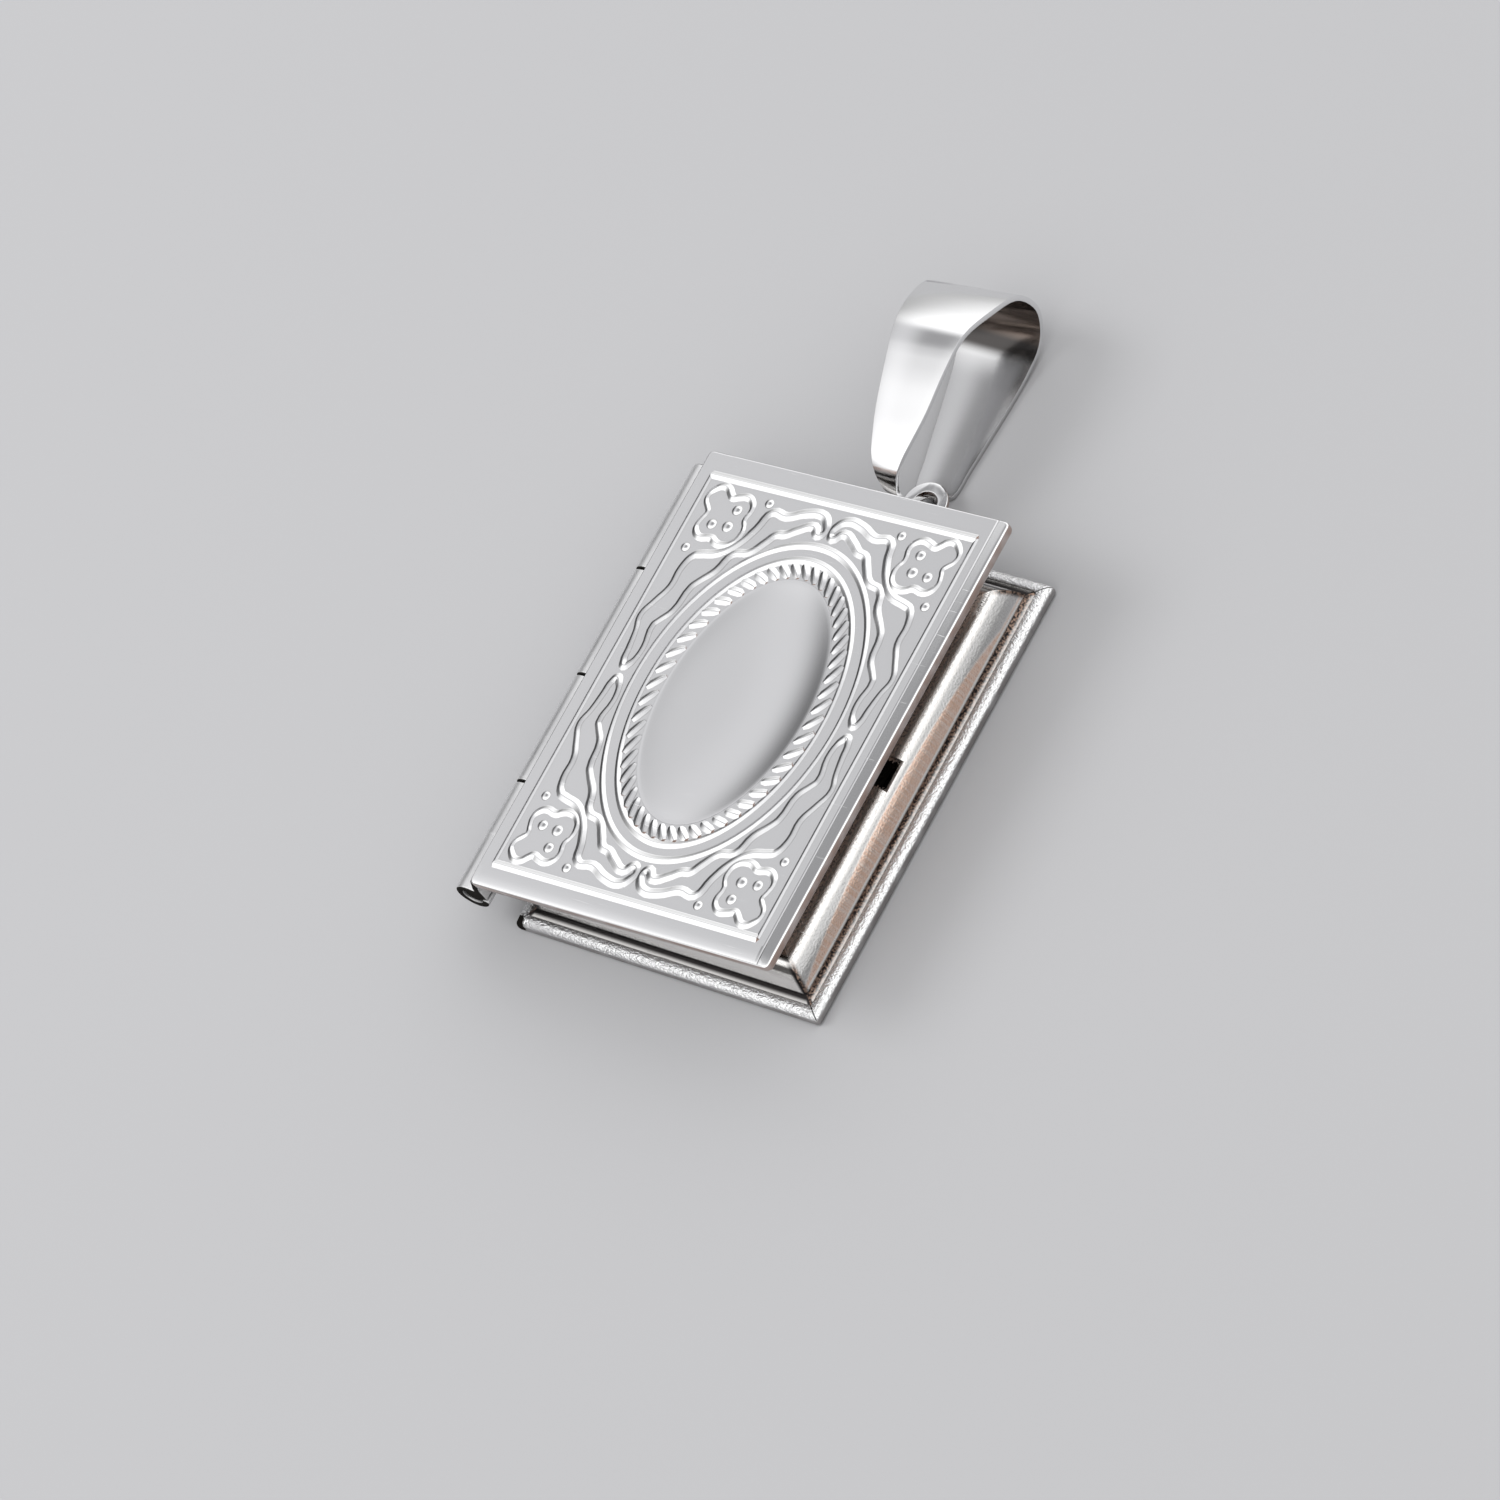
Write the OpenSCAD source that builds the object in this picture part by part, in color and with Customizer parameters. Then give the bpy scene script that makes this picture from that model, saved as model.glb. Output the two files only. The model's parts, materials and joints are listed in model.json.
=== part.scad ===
// Book locket: two pressed covers on a side hinge, each holding a page frame
// with a recess for a picture, and a tapered ribbon bail through an ear on the back cover.
// Origin: centre of the back cover's outer face. +X to the fore edge, +Y to the bail, +Z up.

/* [Covers] */
// Width of the back cover, from the spine side to the fore edge
cover_w = 20; // [18:0.5:24]
// Length of the back cover, along the hinge
cover_l = 26.8; // [24:0.4:32]
// Thickness of one closed half, from its outer face to the middle plane
half_t = 2.64; // [2.4:0.04:3.2]
// Thickness of the covers' flat sheet
sheet_t = 0.4; // [0.3:0.05:0.6]
// Height of the rolled rim above the outer face
rim_h = 0.85; // [0.7:0.05:1]
// Width of the rolled rim
rim_w = 0.6; // [0.5:0.05:0.8]
// Height at which the rim's upright outer side ends
rim_side_h = 0.5; // [0.4:0.05:0.6]
// Radius of the outer face's edge
edge_r = 0.22; // [0.1:0.02:0.3]
// Corner radius of the back cover
back_corner_r = 0.4; // [0.3:0.1:0.8]
// Corner radius of the front cover
front_corner_r = 0.8; // [0.5:0.1:1]
// How far the front cover reaches past the back cover on each side
front_over = 0.18; // [0:0.02:0.3]
// Angle at which the front cover stands ajar, in degrees
ajar_deg = 4; // [0:1:10]

/* [Page frames] */
// Gap between the page frames' faces when the locket is closed
face_gap = 0.1; // [0.06:0.02:0.2]
// Gap round a page frame, to the rim and to the sheet
seat_gap = 0.06; // [0.04:0.02:0.1]
// Thickness of the page frames' sheet
page_t = 0.3; // [0.2:0.05:0.4]
// Width of the slope from the rim to the flat face
slope_w = 1.6; // [1.3:0.1:2]
// Width of the flat face round the window
face_w = 1.3; // [1:0.1:2]
// Corner radius of the window
window_r = 1.2; // [0.8:0.1:2]
// Width of the thumb notch in the back page frame
notch_w = 2; // [1.4:0.2:3]
// Depth of the thumb notch, down from the flat face
notch_h = 0.5; // [0.3:0.05:0.7]

/* [Hinge] */
// Distance of the hinge's axis from the back cover's edge
hinge_out = 1.7; // [1.6:0.1:2.2]
// Outer radius of the knuckles
barrel_r = 1; // [0.9:0.05:1.1]
// Radius of the hinge pin
pin_r = 0.5; // [0.4:0.05:0.6]
// Clearance between the pin and the knuckles
pin_gap = 0.05; // [0.03:0.01:0.08]
// Gap between neighbouring knuckles
knuckle_gap = 0.08; // [0.06:0.02:0.2]

/* [Ear] */
// Distance of the ear's hole from the back cover's edge
ear_out = 2.32; // [2.3:0.1:3]
// How far the ear sits to the fore edge's side of the middle
ear_x = 0.4; // [0:0.1:1]
// Outer radius of the ear
ear_r = 1.35; // [1.3:0.05:1.6]
// Radius of the hole in the ear
ear_hole_r = 0.75; // [0.7:0.05:0.8]
// Thickness of the ear
ear_t = 0.3; // [0.2:0.05:0.4]

/* [Bail] */
// Length of the bail past the ear's hole
bail_l = 11.5; // [10:0.5:15]
// Height of the bail's crown above its back leg
bail_h = 7; // [6:0.5:9]
// Width of the ribbon at the far end
bail_w = 5.7; // [4.5:0.1:7]
// Width of the ribbon's tongue, where it passes the ear
tongue_w = 0.54; // [0.4:0.02:0.6]
// Thickness of the ribbon
bail_t = 0.3; // [0.2:0.02:0.4]
// Turn of the bail away from the hinge's direction, in degrees
bail_turn = 4.6; // [0:0.2:8]

/* [Ornament] */
// Height of the raised ornament
relief_h = 0.1; // [0.06:0.02:0.2]
// Width of the raised lines
line_w = 0.36; // [0.28:0.02:0.4]
// Half width of the ornament's frame
frame_a = 9.03; // [8.6:0.1:9.3]
// Half length of the ornament's frame
frame_b = 12.2; // [11.6:0.1:12.8]
// Number of strokes in the rope round the oval
rope_strokes = 52; // [36:2:56]

/* [Hidden] */
$fn = 48;

steel = [0.80, 0.81, 0.83];
page_steel = [0.78, 0.75, 0.73];
sink = 0.1;              // how deep one joined shape reaches into the next
knuckles = 4;
pin_short = 0.1;         // how far the pin stops inside the knuckles' ends

hinge_x = -(cover_w / 2 + hinge_out);
hinge_z = half_t;
knuckle_l = (cover_l - (knuckles - 1) * knuckle_gap) / knuckles;
page_in = rim_w + seat_gap;
page_top = half_t - face_gap / 2;
page_foot = sheet_t + seat_gap;
page_step = rim_h - seat_gap;   // height at which a page frame's flange starts
window_in = page_in + slope_w + face_w;

// The ear's outer band and the bail's hook round it
hook_gap = 0.07;
bail_lift = 0.02;
bail_shift = 0.18;       // how far the bail hangs to the spine's side in the hole
ear_y = cover_l / 2 + ear_out;
reach_x = bail_shift + tongue_w / 2;
band_in = sqrt(pow(ear_hole_r, 2) - pow(reach_x, 2));
band_y = (ear_hole_r + ear_r) / 2;
hook_in = sqrt(pow(band_y - band_in, 2) + pow(ear_t / 2, 2)) + hook_gap;
hook_r = hook_in + bail_t / 2;
ear_z = bail_lift + bail_t + hook_in;   // height of the ear's middle plane

// Outer side of a cover, as [inward, up]
edge_steps = 5;
rim_steps = 4;
function edge_row(i) =
    let (t = 90 * i / edge_steps)
    [edge_r * (1 - sin(t)), edge_r * (1 - cos(t))];
function rim_row(i) =
    let (t = 90 * i / rim_steps)
    [rim_w * (1 - cos(t)), rim_side_h + (rim_h - rim_side_h) * sin(t)];
cover_side = concat(
    [for (i = [0 : edge_steps]) edge_row(i)],
    [for (i = [0 : rim_steps]) rim_row(i)]);

// Outer side of a page frame, as [share of slope_w inward, share of the height up]
page_side = [
    [0.00, 0.00], [0.26, 0.10], [0.29, 0.20], [0.45, 0.53],
    [0.64, 0.78], [0.75, 0.90], [0.88, 0.975], [1.00, 1.00]];

// Leaf from a knuckle to its cover, as points beyond the hinge's axis:
// [share of barrel_r, share of the way to the cover's edge, share of half_t]
leaf_rows = [
    [0.50, 0.00, 0.23], [0.45, 0.29, 0.66], [0.00, 0.99, 0.965],
    [0.00, 1.20, 0.80], [0.65, 0.44, 0.58], [0.80, 0.00, 0.13]];

// Half section of a block whose sides follow [inward, up] rows, across a width
function mirrored_section(rows, w) = concat(
    [for (r = rows) [w / 2 - r[0], r[1]]],
    [for (i = [len(rows) - 1 : -1 : 0]) [rows[i][0] - w / 2, rows[i][1]]]);

// Block with the same sloped side all round
module sloped_block(rows, w, l) {
    intersection() {
        rotate([90, 0, 0])
            translate([0, 0, -l / 2 - 1])
                linear_extrude(l + 2)
                    polygon(mirrored_section(rows, w));
        rotate([90, 0, 90])
            translate([0, 0, -w / 2 - 1])
                linear_extrude(w + 2)
                    polygon(mirrored_section(rows, l));
    }
}

module rounded_sheet(w, l, r) {
    square([w - 2 * r, l], center = true);
    square([w, l - 2 * r], center = true);
    for (sx = [-1, 1])
        for (sy = [-1, 1])
            translate([sx * (w / 2 - r), sy * (l / 2 - r)])
                circle(r);
}

// Tray of a cover: sheet with a rolled rim all round
module cover_tray(over, corner_r) {
    w = cover_w + 2 * over;
    l = cover_l + 2 * over;
    difference() {
        intersection() {
            sloped_block(cover_side, w, l);
            translate([0, 0, -1])
                linear_extrude(half_t + 2)
                    rounded_sheet(w, l, corner_r);
        }
        translate([rim_w - w / 2, rim_w - l / 2, sheet_t])
            cube([w - 2 * rim_w, l - 2 * rim_w, rim_h]);
    }
}

// Knuckles of one cover with their leaves, the other cover's places left free
module knuckle_set(first, over) {
    edge_x = hinge_out - over;
    for (k = [first : 2 : knuckles - 1])
        translate([hinge_x, -cover_l / 2 + k * (knuckle_l + knuckle_gap), hinge_z])
            rotate([-90, 0, 0])
                linear_extrude(knuckle_l)
                    difference() {
                        union() {
                            circle(barrel_r);
                            polygon([for (r = leaf_rows)
                                [barrel_r * r[0] + edge_x * r[1], half_t * r[2]]]);
                        }
                        circle(pin_r + pin_gap);
                    }
}

// Pressed page frame, open below, with a window for the picture
module page_frame(over) {
    w = cover_w + 2 * over - 2 * page_in;
    l = cover_l + 2 * over - 2 * page_in;
    win_w = w - 2 * (slope_w + face_w);
    win_l = l - 2 * (slope_w + face_w);
    rows = concat([[0, page_foot]], [for (r = page_side)
        [slope_w * r[0], page_step + (page_top - page_step) * r[1]]]);
    under = [for (r = rows) [r[0], max(r[1] - page_t, page_foot - sink)]];
    difference() {
        sloped_block(rows, w, l);
        difference() {
            sloped_block(under, w - 2 * page_t, l - 2 * page_t);
            linear_extrude(half_t)
                rounded_sheet(win_w + 2 * page_t, win_l + 2 * page_t, window_r + page_t);
        }
        linear_extrude(half_t)
            rounded_sheet(win_w, win_l, window_r);
    }
}

module thumb_notch() {
    translate([cover_w / 2 - window_in + face_w / 2, -notch_w / 2, page_top - notch_h])
        cube([window_in, notch_w, notch_h + 1]);
}

module ear() {
    bottom = ear_z - ear_t / 2;
    root_y = cover_l / 2 - rim_w + seat_gap;
    difference() {
        union() {
            translate([ear_x, ear_y, bottom])
                cylinder(r = ear_r, h = ear_t);
            translate([ear_x - ear_r, root_y, bottom])
                cube([2 * ear_r, ear_y - root_y, ear_t]);
            translate([ear_x - ear_r, root_y, rim_side_h / 2])
                cube([2 * ear_r, rim_w, bottom + sink - rim_side_h / 2]);
        }
        translate([ear_x, ear_y, bottom - 1])
            cylinder(r = ear_hole_r, h = ear_t + 2);
    }
}

// Turns a half made like the back cover over, onto the closed locket
module turned_over() {
    translate([0, 0, 2 * half_t])
        mirror([0, 0, 1])
            children();
}

// Swings the front half open about the hinge
module ajar() {
    translate([hinge_x, 0, hinge_z])
        rotate([0, -ajar_deg, 0])
            translate([-hinge_x, 0, -hinge_z])
                children();
}

// Ornament: raised lines drawn in one quarter as [share of frame_a, share of frame_b]
// from the ornament's centre, and repeated four times
ornament_x = -0.2;
scroll_outer_top = [[0.033, 0.882], [0.089, 0.934], [0.210, 0.926], [0.332, 0.889], [0.440, 0.893]];
scroll_outer_turn = [[0.449, 0.893], [0.493, 0.803], [0.554, 0.717], [0.653, 0.648],
    [0.775, 0.623], [0.808, 0.614]];
scroll_outer_side = [[0.814, 0.610], [0.855, 0.541], [0.858, 0.443], [0.908, 0.361],
    [0.952, 0.279], [0.925, 0.205], [0.900, 0.115], [0.890, 0.041]];
scroll_inner_top = [[0.050, 0.842], [0.111, 0.877], [0.210, 0.840], [0.275, 0.807], [0.330, 0.799]];
scroll_inner_turn = [[0.338, 0.793], [0.377, 0.754], [0.454, 0.684], [0.554, 0.660],
    [0.609, 0.566], [0.687, 0.496], [0.714, 0.467]];
scroll_inner_side = [[0.717, 0.459], [0.748, 0.336], [0.808, 0.275], [0.829, 0.256]];
scroll_inner_low = [[0.829, 0.245], [0.808, 0.139], [0.819, 0.074], [0.845, 0.045]];
scroll_lines = [scroll_outer_top, scroll_outer_turn, scroll_outer_side, scroll_inner_top,
    scroll_inner_turn, scroll_inner_side, scroll_inner_low];

// Corner flower, one half, as shares of frame_a in from the frame's corner along each side
flower_rows = [[0.084, 0.084], [0.131, 0.055], [0.175, 0.064], [0.208, 0.094], [0.236, 0.113],
    [0.280, 0.100], [0.336, 0.089], [0.380, 0.109], [0.406, 0.155], [0.395, 0.238],
    [0.415, 0.277], [0.424, 0.321], [0.396, 0.396]];
// Dots as [along one side, along the other, radius], shares of frame_a
dot_rows = [[0.308, 0.183, 0.031], [0.186, 0.306, 0.031], [0.302, 0.299, 0.033],
    [0.502, 0.094, 0.028], [0.096, 0.487, 0.028]];
// Ovals as [share of frame_a, share of frame_b]
ring_rows = [[0.762, 0.787], [0.661, 0.713]];
oval_share = [0.532, 0.615];
rope_share = [0.592, 0.660];
rope_lean = 0.6;         // how far a stroke leans along the rope, in its spacings
line_steps = 3;

// Point at t from 0 to 1 between p1 and p2 on a smooth curve
function smooth(p0, p1, p2, p3, t) =
    0.5 * (2 * p1 + (p2 - p0) * t + (2 * p0 - 5 * p1 + 4 * p2 - p3) * t * t
        + (3 * p1 - p0 - 3 * p2 + p3) * t * t * t);
function row_at(rows, i) = rows[max(0, min(len(rows) - 1, i))];
function smooth_rows(rows, steps) = concat(
    [for (i = [0 : len(rows) - 2])
        for (s = [0 : steps - 1])
            smooth(row_at(rows, i - 1), rows[i], rows[i + 1], row_at(rows, i + 2), s / steps)],
    [rows[len(rows) - 1]]);
function side_way(p, q) = let (d = q - p) [-d[1], d[0]] / norm(d);

// Raised line of one width along its points
module raised_line(pts, w) {
    n = len(pts);
    ways = [for (i = [0 : n - 1]) side_way(row_at(pts, i - 1), row_at(pts, i + 1))];
    translate([0, 0, -sink])
        linear_extrude(relief_h + sink)
            polygon(concat(
                [for (i = [0 : n - 1]) pts[i] + ways[i] * w / 2],
                [for (i = [n - 1 : -1 : 0]) pts[i] - ways[i] * w / 2]));
}

// Band between two ovals
module raised_oval(a, b, w) {
    translate([0, 0, -sink])
        linear_extrude(relief_h + sink)
            difference() {
                scale([a + w / 2, b + w / 2])
                    circle(1, $fn = 96);
                scale([a - w / 2, b - w / 2])
                    circle(1, $fn = 96);
            }
}

module raised_dot(p, r) {
    translate([p[0], p[1], -sink])
        cylinder(r = r, h = relief_h + sink, $fn = 24);
}

module ornament_quarter() {
    for (rows = scroll_lines)
        raised_line(smooth_rows([for (r = rows) [frame_a * r[0], frame_b * r[1]]], line_steps), line_w);
    for (flip = [0, 1]) {
        half = [for (r = flower_rows) frame_a * [r[flip], r[1 - flip]]];
        raised_line(smooth_rows([for (p = half) [frame_a, frame_b] - p], 2), line_w * 0.8);
    }
    for (d = dot_rows)
        raised_dot([frame_a * (1 - d[0]), frame_b - frame_a * d[1]], frame_a * d[2]);
}

module ornament_frame() {
    for (s = [-1, 1]) {
        raised_line([[s * frame_a, -frame_b], [s * frame_a, frame_b]], line_w * 0.8);
        raised_line([[-frame_a, s * frame_b], [frame_a, s * frame_b]], line_w * 0.8);
    }
}

// Point of the rope at an angle, so far outside its middle line
function rope_point(t, off) =
    [(frame_a * rope_share[0] + off) * cos(t), (frame_b * rope_share[1] + off) * sin(t)];

module rope() {
    in_w = frame_a * (rope_share[0] - oval_share[0]) - line_w / 4;
    out_w = frame_a * (ring_rows[1][0] - rope_share[0]) - line_w / 2;
    lean = rope_lean * 360 / rope_strokes;
    for (k = [0 : rope_strokes - 1]) {
        t = 360 * k / rope_strokes;
        raised_line([rope_point(t + lean, out_w), rope_point(t + lean / 2, out_w / 2),
            rope_point(t - lean / 2, -in_w / 2), rope_point(t - lean, -in_w)], line_w * 0.9);
    }
}

module ornament() {
    translate([ornament_x, 0, 0]) {
        for (mx = [0, 1])
            for (my = [0, 1])
                mirror([mx, 0, 0])
                    mirror([0, my, 0])
                        ornament_quarter();
        ornament_frame();
        for (r = ring_rows)
            raised_oval(frame_a * r[0], frame_b * r[1], line_w * 0.6);
        raised_oval(frame_a * oval_share[0], frame_b * oval_share[1], line_w * 0.4);
        rope();
    }
}

// Bail ribbon as rows of [share of bail_l along, share of bail_h up from the back leg,
// share of bail_w across], from the back leg round the far end to the front leg's lower end
bail_rows = [
    [0.245, 0.000, 0.510], [0.425, 0.000, 0.620], [0.600, 0.000, 0.720], [0.770, 0.006, 0.810],
    [0.905, 0.085, 0.890], [0.985, 0.250, 0.950], [1.000, 0.450, 0.990], [0.938, 0.705, 0.990],
    [0.790, 0.870, 0.920], [0.612, 0.975, 0.760], [0.429, 0.940, 0.650], [0.233, 0.850, 0.550],
    [0.104, 0.810, 0.440], [0.010, 0.775, 0.340], [-0.050, 0.700, 0.240], [-0.078, 0.590, 0.160]];
// Tongue down to the hook, as [share of bail_l along, share of bail_h up from the ear]
tongue_rows = [[-0.087, 0.380], [-0.074, 0.230], [-0.030, 0.110]];
shoulder_w = 0.415;      // share of bail_w where the back leg starts
bail_steps = 4;

leg_z = bail_lift + bail_t / 2;
bail_path = concat(
    [for (t = [0, -30, -60, -90])
        [band_y - hook_r * cos(t), ear_z + hook_r * sin(t),
            t == -90 ? bail_w * shoulder_w : tongue_w]],
    [for (r = bail_rows) [bail_l * r[0], leg_z + bail_h * r[1], max(tongue_w, bail_w * r[2])]],
    [for (r = tongue_rows) [bail_l * r[0], ear_z + bail_h * r[1], tongue_w]]);
bail_n = len(bail_path) * bail_steps;

function bail_row(i) = bail_path[(i + len(bail_path)) % len(bail_path)];
function bail_point(k) =
    let (n = (k + bail_n) % bail_n, i = floor(n / bail_steps), t = n / bail_steps - i)
    smooth(bail_row(i - 1), bail_row(i), bail_row(i + 1), bail_row(i + 2), t);

// Closed ribbon: four corners at each step of the path
module ribbon() {
    points = [for (k = [0 : bail_n - 1])
        let (p = bail_point(k), a = bail_point(k - 1), b = bail_point(k + 1),
            s = side_way([a[0], a[1]], [b[0], b[1]]) * bail_t / 2)
        each [for (c = [[-1, -1], [1, -1], [1, 1], [-1, 1]])
            [c[0] * p[2] / 2, p[0] + c[1] * s[0], p[1] + c[1] * s[1]]]];
    faces = [for (k = [0 : bail_n - 1])
        for (c = [0 : 3])
            let (a = 4 * k, b = 4 * ((k + 1) % bail_n), d = (c + 1) % 4)
            each [[a + c, a + d, b + d], [a + c, b + d, b + c]]];
    polyhedron(points, faces);
}

module front_cover() {
    color(steel)
        ajar()
            turned_over() {
                cover_tray(front_over, front_corner_r);
                knuckle_set(0, front_over);
                mirror([0, 0, 1])
                    ornament();
            }
}

module front_pages() {
    color(page_steel)
        ajar()
            turned_over()
                page_frame(front_over);
}

module back_cover() {
    color(steel) {
        cover_tray(0, back_corner_r);
        knuckle_set(1, 0);
        ear();
    }
}

module back_pages() {
    color(page_steel)
        difference() {
            page_frame(0);
            thumb_notch();
        }
}

module hinge_pin() {
    color(steel)
        translate([hinge_x, pin_short - cover_l / 2, hinge_z])
            rotate([-90, 0, 0])
                cylinder(r = pin_r, h = cover_l - 2 * pin_short);
}

module bail() {
    color(steel)
        translate([ear_x - bail_shift, ear_y, 0])
            rotate([0, 0, bail_turn])
                ribbon();
}

front_cover();
front_pages();
back_cover();
back_pages();
hinge_pin();
bail();
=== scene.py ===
"""Book locket in polished steel: two pressed covers on a side hinge, page frames and a ribbon bail."""
import json
import math

import bpy
from mathutils import Matrix, Vector

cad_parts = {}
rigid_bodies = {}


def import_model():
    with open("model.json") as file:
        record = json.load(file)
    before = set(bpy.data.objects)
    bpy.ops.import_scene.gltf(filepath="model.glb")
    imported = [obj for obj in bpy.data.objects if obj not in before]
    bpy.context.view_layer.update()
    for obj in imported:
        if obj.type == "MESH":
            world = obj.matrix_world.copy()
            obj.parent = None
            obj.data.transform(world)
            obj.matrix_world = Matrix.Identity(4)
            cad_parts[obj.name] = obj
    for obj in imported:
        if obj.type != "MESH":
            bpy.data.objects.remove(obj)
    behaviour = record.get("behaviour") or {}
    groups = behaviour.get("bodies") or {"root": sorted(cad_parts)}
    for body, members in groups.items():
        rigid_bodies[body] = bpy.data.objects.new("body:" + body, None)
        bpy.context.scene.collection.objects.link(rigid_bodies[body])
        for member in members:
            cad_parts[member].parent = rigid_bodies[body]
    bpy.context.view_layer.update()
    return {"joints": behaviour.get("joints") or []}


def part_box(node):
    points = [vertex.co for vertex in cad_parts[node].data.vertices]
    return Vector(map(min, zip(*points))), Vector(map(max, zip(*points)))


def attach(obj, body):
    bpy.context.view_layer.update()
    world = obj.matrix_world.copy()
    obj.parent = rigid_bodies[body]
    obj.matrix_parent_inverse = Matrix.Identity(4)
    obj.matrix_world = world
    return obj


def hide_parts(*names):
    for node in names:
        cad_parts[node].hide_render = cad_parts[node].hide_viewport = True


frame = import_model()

bl_info = {
    "name": "Book locket",
    "version": (1, 0, 0),
    "blender": (4, 5, 0),
    "location": "View3D > Sidebar > Locket",
    "description": "Builds the visible pieces of a book locket round its packed frame",
    "category": "Object",
}

MM = 0.001
NEAR = 1e-3
WELD = 0.0002
BACK = "back"
FRONT = "front"
BAIL = "bail"

back_low, back_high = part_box("back_cover")
pages_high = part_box("back_pages")[1]
pin_low, pin_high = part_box("hinge_pin")
LID_HINGE = next(j for j in frame["joints"] if j["name"] == "lid_hinge")


# Settings: sizes are in metres, and the makers below read them in millimetres

def length(name, description, default):
    return bpy.props.FloatProperty(
        name=name, description=description, default=default, unit="LENGTH", subtype="DISTANCE")


def angle(name, description, degrees):
    return bpy.props.FloatProperty(name=name, description=description, default=math.radians(degrees),
                                   unit="ROTATION", subtype="ANGLE")


def colour(name, description, default):
    return bpy.props.FloatVectorProperty(
        name=name, description=description, default=default, subtype="COLOR", size=3, min=0, max=1)


class LocketCovers(bpy.types.PropertyGroup):
    cover_w: length("Cover width", "Width of the back cover, from spine to fore edge", 2 * back_high.x)
    cover_l: length("Cover length", "Length of the back cover, along the hinge", -2 * back_low.y)
    half_t: length("Half thickness", "Thickness of one closed half", LID_HINGE["pos_m"][2])
    sheet_t: length("Sheet thickness", "Thickness of the covers' flat sheet", 0.0004)
    rim_h: length("Rim height", "Height of the rolled rim above the outer face", 0.00085)
    rim_w: length("Rim width", "Width of the rolled rim", 0.0006)
    front_over: length("Front overhang", "How far the front cover reaches past the back cover", 0.00018)
    ajar: angle("Ajar angle", "Angle at which the front cover stands open", 4)
    steel: colour("Cover steel", "Colour of the covers' polished steel", (0.815, 0.815, 0.82))


class LocketPages(bpy.types.PropertyGroup):
    seat_gap: length("Seat gap", "Gap between a page frame and the rim round it", 0.00006)
    page_top: length(
        "Page height", "Height of the page frame's flat face over the outer face", pages_high.z)
    page_t: length("Page sheet", "Thickness of the page frames' sheet", 0.0003)
    slope_w: length("Slope width", "Width of the slope from the rim to the flat face", 0.0016)
    face_w: length("Face width", "Width of the flat face round the window", 0.0013)
    notch_w: length("Notch width", "Width of the thumb notch", 0.0019)
    warm_steel: colour("Page steel", "Colour of the page frames' warmer steel", (0.82, 0.80, 0.78))
    # this tint colours the painted warm reflection on the fore slope and warms the painted shade of the page
    # frames
    painted_warm_tint: colour("Groove tint", "Coppery tint where the slope was drawn", (0.60, 0.42, 0.33))


class LocketHinge(bpy.types.PropertyGroup):
    barrel_r: length("Barrel radius", "Outer radius of the knuckles", 0.001)
    pin_r: length("Pin radius", "Radius of the hinge pin", (pin_high.x - pin_low.x) / 2)
    knuckle_gap: length("Knuckle gap", "Gap between neighbouring knuckles", 0.00008)
    knuckles: bpy.props.IntProperty(
        name="Knuckles", description="Number of knuckles along the hinge", default=4)


class LocketBail(bpy.types.PropertyGroup):
    bail_l: length("Bail length", "Length of the bail past the ear's hole", 0.0115)
    bail_h: length("Bail height", "Height of the bail's crown above its back leg", 0.007)
    bail_w: length("Ribbon width", "Width of the ribbon at the far end", 0.0057)
    bail_t: length("Ribbon thickness", "Thickness of the ribbon", 0.0003)
    bail_turn: angle("Bail turn", "Turn of the bail away from the hinge's direction", 4.6)
    ear_r: length("Ear radius", "Outer radius of the ear", 0.00135)
    ear_hole_r: length("Ear hole", "Radius of the hole in the ear", 0.00075)


class LocketOrnament(bpy.types.PropertyGroup):
    relief_h: length("Relief height", "Height of the raised ornament", 0.0001)
    line_w: length("Line width", "Width of the raised lines", 0.00042)
    frame_a: length("Frame half width", "Half width of the ornament's frame", 0.00903)
    frame_b: length("Frame half length", "Half length of the ornament's frame", 0.0122)
    rope_strokes: bpy.props.IntProperty(
        name="Rope strokes", description="Number of strokes in the rope round the oval", default=52)


class LocketStage(bpy.types.PropertyGroup):
    floor: colour("Floor", "Colour of the plain floor", (0.42, 0.42, 0.43))
    lens: bpy.props.FloatProperty(
        name="Lens", description="Focal length of the camera in millimetres",
        default=209.76, subtype="DISTANCE_CAMERA")


GROUPS = {
    "locket_covers": LocketCovers, "locket_pages": LocketPages, "locket_hinge": LocketHinge,
    "locket_bail": LocketBail, "locket_ornament": LocketOrnament, "locket_stage": LocketStage}


def mm(group, name):
    """A setting of the scene in millimetres."""
    return getattr(getattr(bpy.context.scene, "locket_" + group), name) / MM


# Hand work: what a maker selects, moves and cuts

def leave_edit():
    if bpy.context.mode != "OBJECT":
        bpy.ops.object.mode_set(mode="OBJECT")


def only(obj):
    leave_edit()
    for other in bpy.context.view_layer.objects:
        other.select_set(False)
    obj.select_set(True)
    bpy.context.view_layer.objects.active = obj


def apply_place(obj):
    only(obj)
    bpy.ops.object.transform_apply(location=True, rotation=True, scale=True)
    return obj


def pick(obj, kind, test):
    """Selects in edit mode the faces, edges or points that pass a test of (middle, normal or direction)."""
    leave_edit()
    mesh = obj.data
    bpy.context.tool_settings.mesh_select_mode = (kind == "VERT", kind == "EDGE", kind == "FACE")
    for part in (mesh.vertices, mesh.edges, mesh.polygons):
        part.foreach_set("select", [False] * len(part))
    if kind == "FACE":
        for face in mesh.polygons:
            face.select = test(face.center, face.normal)
    elif kind == "VERT":
        for point in mesh.vertices:
            point.select = test(point.co, point.normal)
    else:
        for edge in mesh.edges:
            a, b = (mesh.vertices[i].co for i in edge.vertices)
            edge.select = test((a + b) / 2, b - a)
    bpy.ops.object.mode_set(mode="EDIT")


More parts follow.
